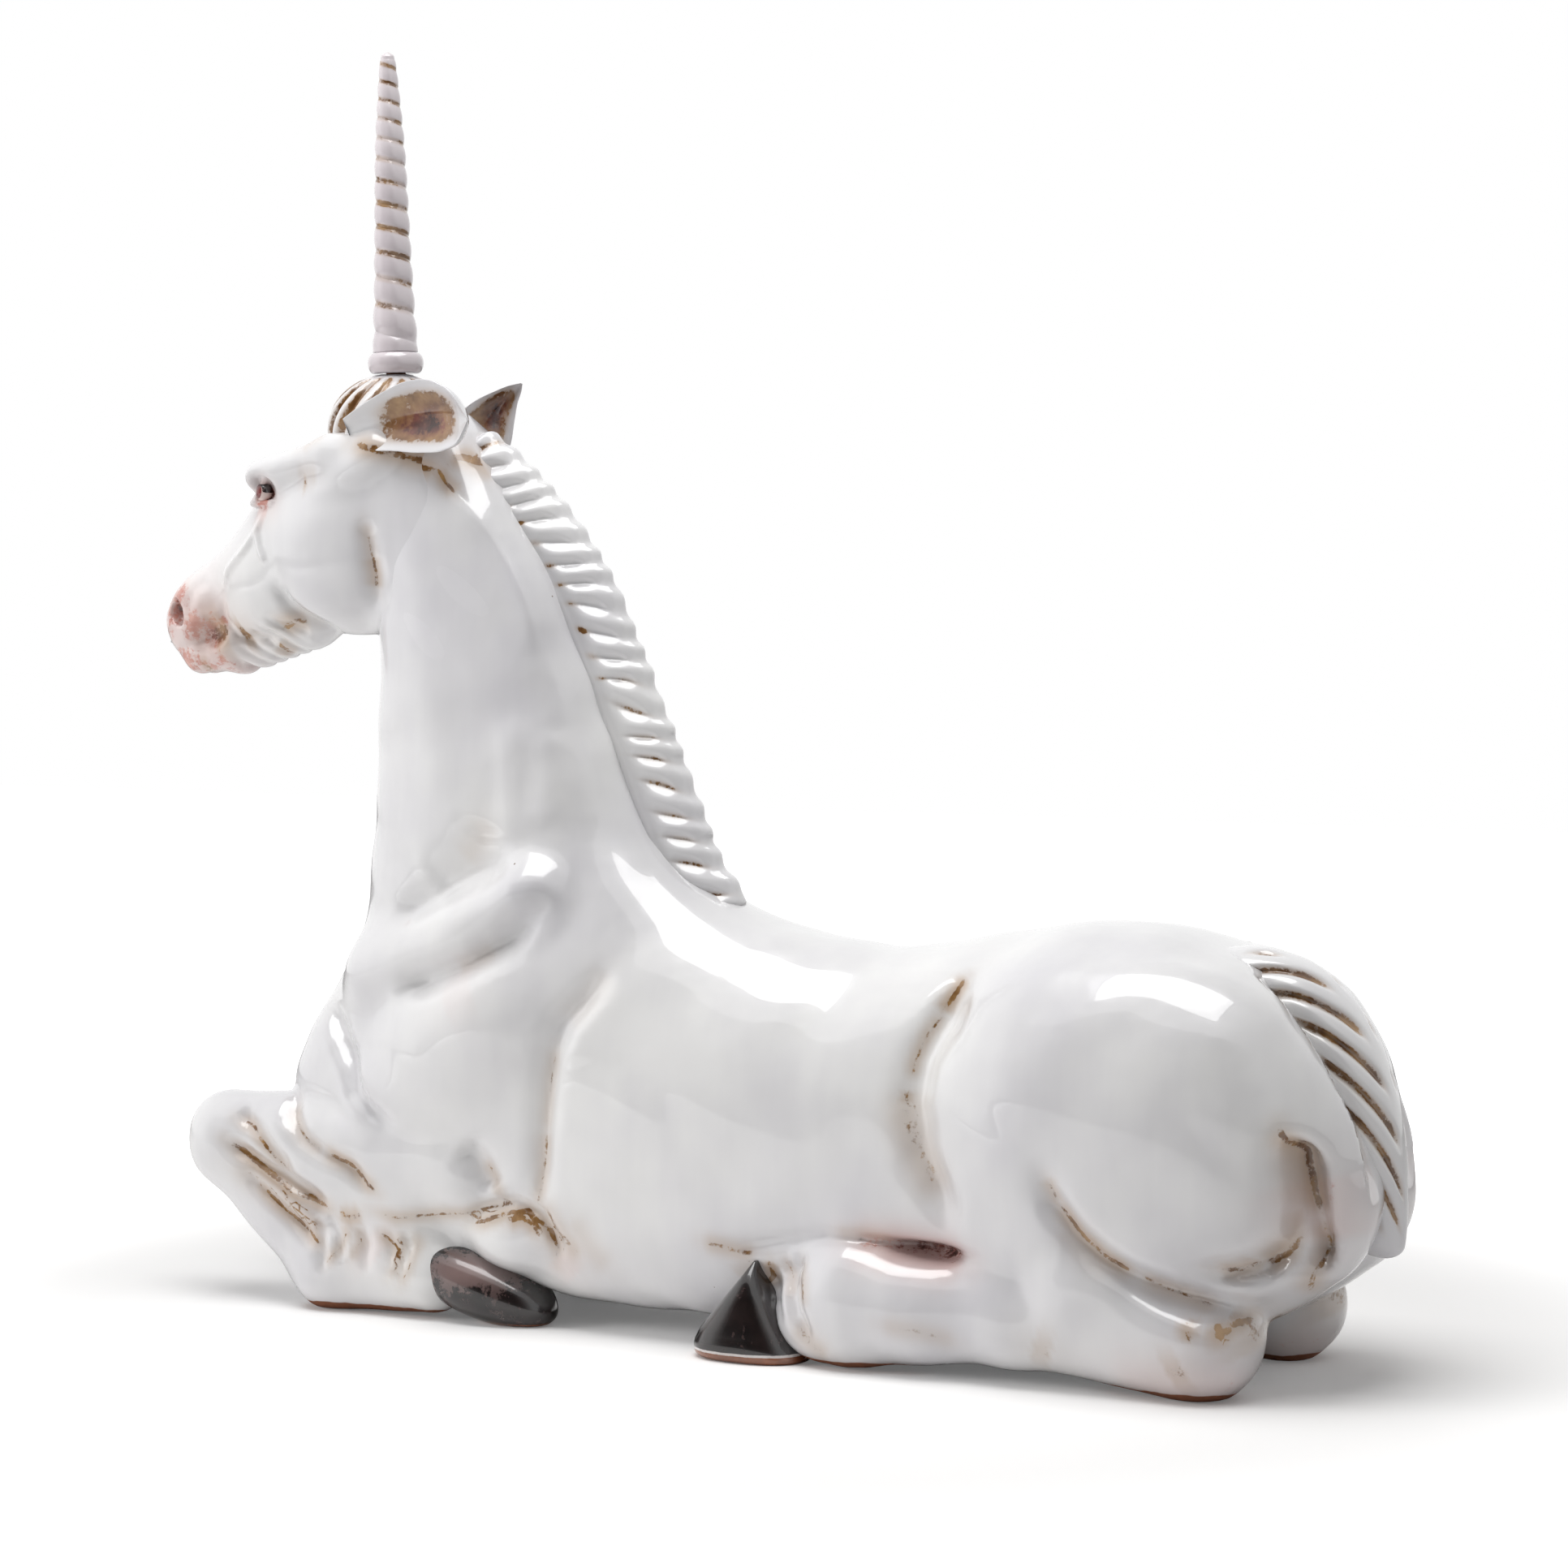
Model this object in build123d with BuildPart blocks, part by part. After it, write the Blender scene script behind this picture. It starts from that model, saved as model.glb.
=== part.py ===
from build123d import *
import math
import os

# Reclining unicorn figurine in glazed earthenware, with a horn that lifts out and turns.
# Millimetres. Floor at Z = 0, nose towards -X, the figure's left side towards -Y.

os.makedirs("parts", exist_ok=True)

# How far a cutting form runs past the face that it cuts
overrun = 2
# Corners of the plain cavities inside the hollow castings
cavity_sides = 12
# Where the barrel's sections pass their corners, as a share of the half sizes: an ellipse has 0.71
full_upper_share = 0.73
full_lower_share = 0.77


def export_piece(piece, name):
    """Write one sub-part to its own STEP file, named after its node."""
    piece.label = name
    export_step(piece, f"parts/{name}.step")


def export_pair(piece, name):
    """Write a left-hand sub-part and its mirror image across the figure's middle plane."""
    export_piece(piece, f"{name}_left")
    export_piece(mirror(piece, about=Plane.XZ), f"{name}_right")


def ring(plane, centre, half_across, half_up):
    """Draw one elliptical section on a plane."""
    with BuildSketch(plane) as section:
        with Locations(centre):
            Ellipse(half_across, half_up)
    return section.sketch


def full_ring(plane, centre, half_across, half_up):
    """Draw one section that is fuller than an ellipse, most of all in its lower half."""
    over = full_upper_share
    under = full_lower_share
    around = [(1, 0), (over, over), (0, 1), (-over, over), (-1, 0), (-under, -under), (0, -1), (under, -under)]
    with BuildSketch(plane) as section:
        with BuildLine():
            Spline(
                [(centre[0] + across * half_across, centre[1] + up * half_up) for across, up in around],
                periodic=True,
            )
        make_face()
    return section.sketch


def facet_ring(plane, centre, half_across, half_up):
    """Draw one many-sided section of a cavity, its corners on an ellipse."""
    angles = [math.pi * (2 * corner + 1) / cavity_sides for corner in range(cavity_sides)]
    with BuildSketch(plane) as section:
        with BuildLine():
            Polyline(
                [(centre[0] + half_across * math.cos(a), centre[1] + half_up * math.sin(a)) for a in angles],
                close=True,
            )
        make_face()
    return section.sketch


# Torso: a slip-cast barrel from chest to rump, with the chest and the shoulders moulded on it
torso_front = -242
torso_length = 575
torso_top = 211
torso_width = 154
torso_wall = 9
vent_diameter = 12
vent_x = -20

# along the length, centre height, half height, half width
torso_shares = [
    (0.000, 0.530, 0.05, 0.13),
    (0.017, 0.540, 0.17, 0.40),
    (0.064, 0.540, 0.294, 0.58),
    (0.160, 0.540, 0.398, 0.76),
    (0.280, 0.524, 0.464, 0.87),
    (0.420, 0.518, 0.458, 0.92),
    (0.570, 0.488, 0.430, 0.95),
    (0.680, 0.507, 0.455, 0.97),
    (0.770, 0.530, 0.468, 0.95),
    (0.856, 0.534, 0.440, 0.86),
    (0.925, 0.535, 0.365, 0.72),
    (0.974, 0.520, 0.235, 0.50),
    (1.000, 0.480, 0.06, 0.16),
]
torso_cavity_shares = torso_shares[2:-2]
# along the torso, height, length, height of the pad, inner and outer face as shares of the half width
chest_shares = (0.061, 0.531, 0.36, 0.38, 0.0, 0.68)
shoulder_shares = (0.209, 0.635, 0.46, 0.57, 0.2, 0.92)
# both ends as along the torso, height and outwards, then half breadth and half depth
band_shares = ((0.062, 0.77, 0.36), (0.300, 1.04, 0.60), 0.27, 0.095)
upper_arm_shares = ((0.270, 0.80, 0.58), (0.072, 0.40, 0.50), 0.32, 0.140)
# share of the way outwards, size
pad_shares = [(0.0, 1.0), (0.42, 0.95), (0.71, 0.81), (0.88, 0.61), (0.97, 0.38), (1.0, 0.18)]
# share of the way along, size
muscle_shares = [(0.0, 0.15), (0.08, 0.60), (0.27, 0.93), (0.5, 1.0), (0.73, 0.93), (0.92, 0.60), (1.0, 0.15)]


def torso_rings(draw, shares, wall):
    """Draw the torso's upright sections, each set in by the wall."""
    return [
        draw(
            Plane.YZ.offset(torso_front + along * torso_length),
            (0, centre * torso_top),
            width * torso_width / 2 - wall,
            height * torso_top - wall,
        )
        for along, centre, height, width in shares
    ]


def pad_rings(draw, x, z, length, height, inner_y, outer_y, wall):
    """Draw the sections of a pad that swells out of the figure's left side, each set in by the wall."""
    return [
        draw(
            Plane.XZ.offset(inner_y + outwards * (outer_y - inner_y)),
            (x, z),
            size * length / 2 - wall,
            size * height / 2 - wall,
        )
        for outwards, size in pad_shares
    ]


def torso_pad(along, up, length, height, inner, outer):
    """Draw a pad on the left side of the torso, placed and sized by shares of the torso."""
    return pad_rings(
        ring,
        torso_front + along * torso_length,
        up * torso_top,
        length * torso_top,
        height * torso_top,
        inner * torso_width / 2,
        outer * torso_width / 2,
        0,
    )


def torso_muscle(start, end, breadth, depth):
    """Draw the sections of a lens-shaped muscle between two points given as shares of the torso."""
    near, far = [
        Vector(torso_front + along * torso_length, -out * torso_width / 2, up * torso_top)
        for along, up, out in (start, end)
    ]
    return [
        ring(
            Plane(origin=near + (far - near) * share, x_dir=(0, 1, 0), z_dir=far - near),
            (0, 0),
            size * breadth * torso_width / 2,
            size * depth * torso_top,
        )
        for share, size in muscle_shares
    ]


with BuildPart() as torso_half:
    loft(torso_rings(full_ring, torso_shares, 0))
    loft(torso_pad(*chest_shares))
    loft(torso_pad(*shoulder_shares))
    loft(torso_muscle(*band_shares))
    loft(torso_muscle(*upper_arm_shares))
    split(bisect_by=Plane.XZ, keep=Keep.TOP)

with BuildPart() as torso_form:
    add(torso_half.part)
    add(mirror(torso_half.part, about=Plane.XZ))

with BuildPart() as torso_cavity:
    loft(torso_rings(facet_ring, torso_cavity_shares, torso_wall), ruled=True)


# Neck: a hollow casting that stands on the withers and ends inside the head
neck_base = 170
neck_height = 270
neck_front = -216
neck_depth = 211
neck_width = 120
neck_wall = 9

# height, front face, back face, half width
neck_shares = [
    (0.00, 0.005, 1.000, 1.00),
    (0.11, 0.028, 0.967, 0.97),
    (0.30, 0.050, 0.815, 0.87),
    (0.48, 0.057, 0.711, 0.76),
    (0.63, 0.060, 0.628, 0.70),
    (0.79, 0.066, 0.512, 0.63),
    (0.93, 0.028, 0.389, 0.55),
    (1.00, 0.014, 0.280, 0.44),
]
neck_cavity_shares = [neck_shares[0], neck_shares[3], neck_shares[6]]


def neck_rings(draw, shares, wall):
    """Draw the neck's level sections, each set in by the wall."""
    return [
        draw(
            Plane.XY.offset(neck_base + height * neck_height),
            (neck_front + (front + back) / 2 * neck_depth, 0),
            (back - front) / 2 * neck_depth - wall,
            width * neck_width / 2 - wall,
        )
        for height, front, back, width in shares
    ]


with BuildPart() as neck_form:
    loft(neck_rings(ring, neck_shares, 0))

with BuildPart() as neck_cavity:
    loft(neck_rings(facet_ring, neck_cavity_shares, neck_wall), ruled=True)


# Head: a hollow casting along an axis that falls from the poll to the nose
head_set_back = 51
head_drop = 35
head_fall = 23
head_length = 192
head_depth = 116
head_width = 86
head_wall = 8

head_rear_x = neck_front + head_set_back
head_rear_z = neck_base + neck_height - head_drop
head_along = Vector(-math.cos(math.radians(head_fall)), 0, -math.sin(math.radians(head_fall)))
head_rear = Vector(head_rear_x, 0, head_rear_z)
head_plane = Plane(origin=head_rear, x_dir=(0, -1, 0), z_dir=head_along)
head_side = Plane(origin=head_rear, x_dir=head_along, z_dir=(0, 1, 0))

# along the axis, centre above the axis, half depth, half width
head_shares = [
    (0.00, 0.040, 0.58, 0.70),
    (0.13, 0.086, 0.90, 0.91),
    (0.26, 0.100, 1.00, 1.00),
    (0.39, 0.130, 0.92, 0.96),
    (0.49, 0.138, 0.76, 0.84),
    (0.62, 0.103, 0.59, 0.68),
    (0.74, 0.070, 0.52, 0.56),
    (0.84, 0.077, 0.45, 0.52),
    (0.93, 0.065, 0.36, 0.47),
    (0.98, 0.070, 0.22, 0.31),
    (1.00, 0.078, 0.08, 0.10),
]
head_cavity_shares = [head_shares[1], head_shares[3], head_shares[5]]


# Beard: combed locks that hang under the chin, part of the head's casting
beard_front_share = 0.7604167
beard_length = 52
beard_top = -14
beard_depth = 17
beard_width = 16
beard_locks = 5
lock_bulge_share = 0.25
beard_front = beard_front_share * head_length


def head_rings(draw, shares, wall):
    """Draw the head's sections across its own axis, each set in by the wall."""
    return [
        draw(
            head_plane.offset(along * head_length),
            (0, centre * head_depth),
            width * head_width / 2 - wall,
            depth * head_depth / 2 - wall,
        )
        for along, centre, depth, width in shares
    ]


with BuildPart() as head_form:
    loft(head_rings(ring, head_shares, 0))

with BuildPart() as head_cavity:
    loft(head_rings(facet_ring, head_cavity_shares, head_wall), ruled=True)


# Horn seat: where the horn's axis meets the top of the forelock, and the lean of the axis
horn_forward = 36.7
horn_rise = 71.8
horn_lean = 1.5
horn_x = head_rear_x - horn_forward
horn_seat = head_rear_z + horn_rise
horn_axis = Vector(-math.sin(math.radians(horn_lean)), 0, math.cos(math.radians(horn_lean)))
horn_plane = Plane(origin=(horn_x, 0, horn_seat), x_dir=(0, 1, 0), z_dir=horn_axis)


# Peg: a loose dowel that stands in the forelock's socket and carries the horn
peg_diameter = 10
socket_depth = 22
socket_clearance = 0.4
horn_bore_depth = 26
horn_bore_clearance = 0.08
peg_headroom = 2
peg_length = socket_depth + horn_bore_depth - peg_headroom
peg_chamfer = 1

with BuildPart() as horn_peg:
    with BuildSketch(horn_plane.offset(-socket_depth)):
        Circle(peg_diameter / 2)
    extrude(amount=peg_length)
    chamfer(horn_peg.edges().filter_by(GeomType.CIRCLE), peg_chamfer)

export_piece(horn_peg.part, "horn_peg")


# Forelock: a mound of combed locks between the ears, with a flat land under the horn
forelock_length = 76
forelock_width = 72
forelock_height = 42
forelock_locks = 8
lock_groove_share = 0.07
# height, centre behind the horn axis as a share of the length, size
forelock_shares = [(0.0, -0.07, 1.00), (0.45, -0.05, 0.90), (1.0, 0.0, 0.50)]


def lock_ring(z, centre, half_length, half_width):
    """Draw a level ring of bulging arcs, one for each lock of the forelock."""
    def rim(turn, reach):
        angle = 2 * math.pi * turn / forelock_locks
        return (centre + reach * half_length * math.cos(angle), reach * half_width * math.sin(angle))

    groove = 1 - lock_groove_share
    with BuildSketch(Plane.XY.offset(z)) as section:
        with BuildLine():
            for lock in range(forelock_locks):
                ThreePointArc(rim(lock, groove), rim(lock + 0.5, 1), rim(lock + 1, groove))
        make_face()
    return section.sketch


with BuildPart() as forelock_form:
    loft(
        [
            lock_ring(
                horn_seat - (1 - height) * forelock_height,
                horn_x + centre * forelock_length,
                size * forelock_length / 2,
                size * forelock_width / 2,
            )
            for height, centre, size in forelock_shares
        ],
        ruled=True,
    )

with BuildPart() as forelock:
    add(forelock_form.part)
    split(bisect_by=horn_plane, keep=Keep.BOTTOM)
    add(head_form.part, mode=Mode.SUBTRACT)
    add(neck_form.part, mode=Mode.SUBTRACT)
    with BuildSketch(horn_plane.offset(-socket_depth)):
        Circle(peg_diameter / 2 + socket_clearance)
    extrude(amount=socket_depth + overrun, mode=Mode.SUBTRACT)

export_piece(forelock.part, "forelock")


# Horn: a rolled collar under a tapered shaft, whose one ridge winds up it
horn_length = 165
collar_diameter = 29
collar_height = 11.3
collar_chamfer = 3.4
horn_base_diameter = 22
horn_tip_diameter = 6
horn_tip_rounding = 2
horn_turns = 13
sections_per_turn = 4
# How far each section's centre swings off the axis, as a share of its radius
ridge_share = 0.08

shaft_height = horn_length - collar_height


def shaft_section(step):
    """Draw one round section of the shaft, its centre swung off the axis to make the wound ridge."""
    climbed = step / (horn_turns * sections_per_turn)
    radius = (horn_base_diameter + climbed * (horn_tip_diameter - horn_base_diameter)) / 2
    turn = -2 * math.pi * step / sections_per_turn
    swing = ridge_share * radius
    plane = horn_plane.offset(collar_height + climbed * shaft_height)
    return ring(plane, (swing * math.cos(turn), swing * math.sin(turn)), radius, radius)


with BuildPart() as horn:
    with BuildSketch(horn_plane):
        Circle(collar_diameter / 2)
    extrude(amount=collar_height)
    chamfer(horn.edges().filter_by(GeomType.CIRCLE), collar_chamfer)
    loft([shaft_section(step) for step in range(horn_turns * sections_per_turn + 1)])
    fillet(horn.faces().sort_by(Axis(horn_plane.origin, horn_axis))[-1].edges(), horn_tip_rounding)
    with BuildSketch(horn_plane):
        Circle(peg_diameter / 2 + horn_bore_clearance)
    extrude(amount=horn_bore_depth, mode=Mode.SUBTRACT)

export_piece(horn.part, "horn")


# Mane: a roached crest of rounded ribs from the forelock down to the withers
mane_ribs = 20
mane_depth = 24
mane_root_depth = 14
mane_width = 28
rib_bulge = 3
# The ends of the crest, as shares of the neck's depth behind its front and of its height
mane_top_share = (0.2085, 1.089)
mane_end_share = (1.052, 0.1444)
# across from the top end to the lower end, down from the top end to the lower end
crest_shares = [(0.21, 0.09), (0.43, 0.24), (0.61, 0.425), (0.76, 0.655), (0.89, 0.87)]
# half width, how far the outline sits inside the crest as a share of the depth
mane_shell_shares = [(1.00, 0.42), (0.40, 0.0), (-0.40, 0.0), (-1.00, 0.42)]

mane_top_x = neck_front + mane_top_share[0] * neck_depth
mane_top_z = neck_base + mane_top_share[1] * neck_height
mane_end_x = neck_front + mane_end_share[0] * neck_depth
mane_end_z = neck_base + mane_end_share[1] * neck_height
mane_across = mane_end_x - mane_top_x
mane_drop = mane_top_z - mane_end_z
with BuildLine(Plane.XZ, mode=Mode.PRIVATE) as crest_line:
    Spline(
        (mane_top_x, mane_top_z),
        *[(mane_top_x + across * mane_across, mane_top_z - down * mane_drop) for across, down in crest_shares],
        (mane_end_x, mane_end_z),
    )
crest = crest_line.line


def crest_point(share, inward):
    """Point at a share of the crest's length, moved in towards the neck, on the figure's side view."""
    place = crest @ share
    along = crest % share
    return (place.X + inward * along.Z, place.Z - inward * along.X)


def rib_ring(y, inward):
    """Draw the mane's side view with one bulging arc for each rib."""
    with BuildSketch(Plane.XZ.offset(-y)) as section:
        with BuildLine():
            for rib in range(mane_ribs):
                ThreePointArc(
                    crest_point(rib / mane_ribs, inward + rib_bulge),
                    crest_point((rib + 0.5) / mane_ribs, inward),
                    crest_point((rib + 1) / mane_ribs, inward + rib_bulge),
                )
            root = mane_depth + mane_root_depth
            Line(crest_point(0, inward + rib_bulge), crest_point(0, root))
            Spline([crest_point(step / len(crest_shares), root) for step in range(len(crest_shares) + 1)])
            Line(crest_point(1, root), crest_point(1, inward + rib_bulge))
        make_face()
    return section.sketch


with BuildPart() as mane:
    loft(
        [rib_ring(share * mane_width / 2, inset * mane_depth) for share, inset in mane_shell_shares],
        ruled=True,
    )
    add(neck_form.part, mode=Mode.SUBTRACT)
    add(torso_form.part, mode=Mode.SUBTRACT)
    add(head_form.part, mode=Mode.SUBTRACT)
    add(forelock_form.part, mode=Mode.SUBTRACT)

export_piece(mane.part, "mane")


# Ears: a pair of laid-back leaves with their cups facing outwards
ear_forward = 42
ear_above = 41
ear_length = 77
ear_rise = 10
ear_upper_bulge = 13
ear_lower_bulge = 19
ear_inner_y = 29
ear_outer_y = 52
cup_depth = 11
# share of the way outwards, size of the leaf
ear_shares = [(0.0, 0.62), (0.35, 1.0), (1.0, 0.9)]
cup_shares = [(0.0, 0.45), (1.0, 0.70)]

ear_root_x = head_rear_x - ear_forward
ear_root_z = head_rear_z + ear_above
ear_slope = math.degrees(math.asin(ear_rise / ear_length))
ear_middle = ear_length / 2


def leaf(outward, size):
    """Draw a leaf of two arcs from the root to the tip, on an upright plane beside the head."""
    plane = Plane(
        origin=(ear_root_x, -outward, ear_root_z),
        x_dir=(math.cos(math.radians(ear_slope)), 0, math.sin(math.radians(ear_slope))),
        z_dir=(0, -1, 0),
    )
    root = ear_middle * (1 - size)
    tip = ear_middle * (1 + size)
    with BuildSketch(plane) as section:
        with BuildLine():
            ThreePointArc((root, 0), (ear_middle, size * ear_upper_bulge), (tip, 0))
            ThreePointArc((tip, 0), (ear_middle, -size * ear_lower_bulge), (root, 0))
        make_face()
    return section.sketch


with BuildPart() as ear:
    loft(
        [leaf(ear_inner_y + share * (ear_outer_y - ear_inner_y), size) for share, size in ear_shares],
        ruled=True,
    )
    loft(
        [leaf(ear_outer_y - (1 - share) * cup_depth, size) for share, size in cup_shares]
        + [leaf(ear_outer_y + overrun, cup_shares[-1][1])],
        ruled=True,
        mode=Mode.SUBTRACT,
    )
    for neighbour in (head_form, neck_form, forelock_form, mane):
        add(neighbour.part, mode=Mode.SUBTRACT)

export_pair(ear.part, "ear")


# Eyes: a pair of domed discs set into the sides of the head
eye_along_share = 0.453125
eye_above_share = 0.4310345
eye_out_share = 0.244186
eye_diameter = 13
eye_depth = 9

with BuildPart() as eye:
    with BuildSketch(head_side.offset(-eye_out_share * head_width)):
        with Locations((eye_along_share * head_length, eye_above_share * head_depth)):
            Circle(eye_diameter / 2)
    extrude(amount=-eye_depth)

export_pair(eye.part, "eye")


# Tail: a thick lock that lies down the middle of the rump
tail_overhang = 15
tail_reach = 102
tail_set_down = 21
tail_drop = 133
tail_thickness = 26
tail_width = 50
# back from the root, down from the root to the end, thickness, width
tail_shares = [
    (0.00, 0.00, 0.70, 0.50),
    (0.35, -0.02, 0.90, 0.66),
    (0.62, 0.13, 1.00, 0.84),
    (0.80, 0.37, 1.00, 0.98),
    (0.87, 0.62, 0.90, 1.00),
    (0.89, 0.84, 0.70, 0.80),
    (0.89, 1.00, 0.34, 0.36),
]

tail_root_x = torso_front + torso_length + tail_overhang - tail_reach
tail_root_z = torso_top - tail_set_down
with BuildLine(Plane.XZ, mode=Mode.PRIVATE) as tail_line:
    Spline(
        [(tail_root_x + back * tail_reach, tail_root_z - down * tail_drop) for back, down, _, _ in tail_shares]
    )
tail_middle = tail_line.edge()


def tail_ring(back, down, thickness, width):
    """Draw one elliptical section across the tail's curved middle line."""
    share = tail_middle.param_at_point((tail_root_x + back * tail_reach, 0, tail_root_z - down * tail_drop))
    plane = Plane(origin=tail_middle @ share, x_dir=(0, 1, 0), z_dir=tail_middle % share)
    return ring(plane, (0, 0), width * tail_width / 2, thickness * tail_thickness / 2)


with BuildPart() as tail_form:
    loft([tail_ring(*shares) for shares in tail_shares])


# Haunches: a pair of thighs pressed hollow and luted to the sides of the torso
haunch_set_forward = 102
haunch_z = 116
haunch_length = 194
haunch_height = 168
haunch_inner_y = 40
haunch_outer_y = 93
haunch_wall = 9
haunch_x = torso_front + torso_length - haunch_set_forward

haunch_size = (haunch_x, haunch_z, haunch_length, haunch_height, haunch_inner_y)

with BuildPart() as haunch_form:
    loft(pad_rings(ring, *haunch_size, haunch_outer_y, 0))

with BuildPart() as haunch:
    add(haunch_form.part)
    loft(
        pad_rings(facet_ring, *haunch_size, haunch_outer_y - haunch_wall, haunch_wall),
        ruled=True,
        mode=Mode.SUBTRACT,
    )
    add(torso_form.part, mode=Mode.SUBTRACT)

export_pair(haunch.part, "haunch")

# Tail, cut to the rump that it lies on, with slanting grooves down both sides
with BuildPart() as tail:
    add(tail_form.part)
    add(torso_form.part, mode=Mode.SUBTRACT)
    add(haunch_form.part, mode=Mode.SUBTRACT)
    add(mirror(haunch_form.part, about=Plane.XZ), mode=Mode.SUBTRACT)

export_piece(tail.part, "tail")


def leg_rings(front, length, height, side, width, shares):
    """Draw upright sections along a leg: along, centre height, half height, half width, place to the side."""
    return [
        ring(
            Plane.YZ.offset(front + along * length),
            (-out * side, centre * height),
            half_width * width / 2,
            half_height * height,
        )
        for along, centre, half_height, half_width, out in shares
    ]


# Hind legs: hock, cannon and pastern lying along the floor
hock_reach = 69
hind_leg_length = 264
hind_leg_height = 60
hind_leg_side = 64
hind_leg_width = 56
hind_hoof_forward = 18
hind_hoof_length = 46
hind_hoof_height = 48
hind_hoof_slope = 66
hind_leg_front = haunch_x + hock_reach - hind_leg_length
hind_hoof_toe = hind_leg_front - hind_hoof_forward
hind_hoof_heel = hind_hoof_toe + hind_hoof_length
# along, centre height, half height, half width, place out to the side
hind_leg_shares = [
    (0.00, 0.40, 0.36, 0.66, 1.03),
    (0.13, 0.42, 0.40, 0.68, 1.03),
    (0.235, 0.52, 0.49, 0.79, 1.03),
    (0.36, 0.49, 0.40, 0.72, 1.02),
    (0.545, 0.50, 0.40, 0.76, 0.97),
    (0.74, 0.58, 0.56, 1.00, 0.91),
    (0.89, 0.52, 0.50, 1.02, 0.86),
    (0.965, 0.46, 0.37, 0.74, 0.84),
    (1.00, 0.45, 0.12, 0.28, 0.84),
]
# centre behind the toe, half length, half width, height
hind_hoof_shares = [(0.52, 0.52, 0.76, 0.0), (0.80, 0.26, 0.56, 1.0)]

hind_coronet = Plane(
    origin=(hind_hoof_heel, 0, 0),
    z_dir=(math.sin(math.radians(hind_hoof_slope)), 0, math.cos(math.radians(hind_hoof_slope))),
)

with BuildPart() as hind_leg:
    loft(
        leg_rings(
            hind_leg_front, hind_leg_length, hind_leg_height, hind_leg_side, hind_leg_width, hind_leg_shares
        )
    )
    split(bisect_by=hind_coronet, keep=Keep.TOP)
    split(bisect_by=Plane.XY, keep=Keep.TOP)
    add(torso_form.part, mode=Mode.SUBTRACT)
    add(haunch_form.part, mode=Mode.SUBTRACT)

export_pair(hind_leg.part, "hind_leg")

def hoof_rings(toe, heel, height, side, width, shares):
    """Draw the level sections of a hoof's cone: place behind the toe, half length, half width, height."""
    return [
        ring(
            Plane.XY.offset(up * height),
            (toe + behind * (heel - toe), -side),
            half_length * abs(heel - toe),
            half_width * width / 2,
        )
        for behind, half_length, half_width, up in shares
    ]


with BuildPart() as hind_hoof:
    loft(
        hoof_rings(
            hind_hoof_toe, hind_hoof_heel, hind_hoof_height, hind_leg_side, hind_leg_width, hind_hoof_shares
        ),
        ruled=True,
    )
    split(bisect_by=hind_coronet, keep=Keep.BOTTOM)
    add(torso_form.part, mode=Mode.SUBTRACT)

export_pair(hind_hoof.part, "hind_hoof")


# Forelegs: forearm out to a raised knee, then the shin back down to the floor
knee_reach = 61
foreleg_length = 163
foreleg_height = 107
foreleg_side = 44
foreleg_width = 50
fore_hoof_back = 142
fore_hoof_length = 69
fore_hoof_height = 40
foreleg_knee = torso_front - knee_reach
fore_hoof_heel = foreleg_knee + fore_hoof_back
fore_hoof_toe = fore_hoof_heel + fore_hoof_length
# along, centre height, half height, half width, place out to the side
forearm_shares = [
    (0.00, 0.76, 0.05, 0.24, 0.95),
    (0.04, 0.775, 0.14, 0.66, 0.95),
    (0.16, 0.78, 0.21, 0.90, 0.95),
    (0.54, 0.71, 0.28, 1.00, 0.95),
    (0.80, 0.74, 0.27, 0.96, 0.93),
    (1.00, 0.78, 0.16, 0.50, 0.80),
]
shin_shares = [
    (0.02, 0.72, 0.07, 0.32, 0.95),
    (0.11, 0.72, 0.15, 0.70, 0.96),
    (0.37, 0.47, 0.24, 0.86, 1.00),
    (0.60, 0.235, 0.235, 0.90, 1.04),
    (0.94, 0.20, 0.19, 0.80, 1.06),
]
# centre behind the toe, half length, half width, height
fore_hoof_shares = [(0.50, 0.50, 0.88, 0.0), (0.86, 0.27, 0.62, 1.0)]

fore_coronet = Plane.YZ.offset(fore_hoof_heel)

with BuildPart() as fore_hoof:
    loft(
        hoof_rings(
            fore_hoof_toe, fore_hoof_heel, fore_hoof_height, foreleg_side, foreleg_width, fore_hoof_shares
        ),
        ruled=True,
    )
    split(bisect_by=fore_coronet, keep=Keep.TOP)
    add(torso_form.part, mode=Mode.SUBTRACT)

export_pair(fore_hoof.part, "fore_hoof")

with BuildPart() as foreleg:
    for shares in (forearm_shares, shin_shares):
        loft(leg_rings(foreleg_knee, foreleg_length, foreleg_height, foreleg_side, foreleg_width, shares))
    split(bisect_by=Plane.XY, keep=Keep.TOP)
    add(torso_form.part, mode=Mode.SUBTRACT)
    add(fore_hoof.part, mode=Mode.SUBTRACT)

export_pair(foreleg.part, "foreleg")


# The three hollow castings, each cut to the ones beside it and open to them inside
with BuildPart() as torso:
    add(torso_form.part)
    add(torso_cavity.part, mode=Mode.SUBTRACT)
    add(neck_cavity.part, mode=Mode.SUBTRACT)
    with BuildSketch(Plane.XY):
        with Locations((vent_x, 0)):
            Circle(vent_diameter / 2)
    extrude(amount=torso_top / 2, mode=Mode.SUBTRACT)

export_piece(torso.part, "torso")

with BuildPart() as neck:
    add(neck_form.part)
    add(neck_cavity.part, mode=Mode.SUBTRACT)
    add(torso_form.part, mode=Mode.SUBTRACT)
    add(head_form.part, mode=Mode.SUBTRACT)

export_piece(neck.part, "neck")

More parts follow.
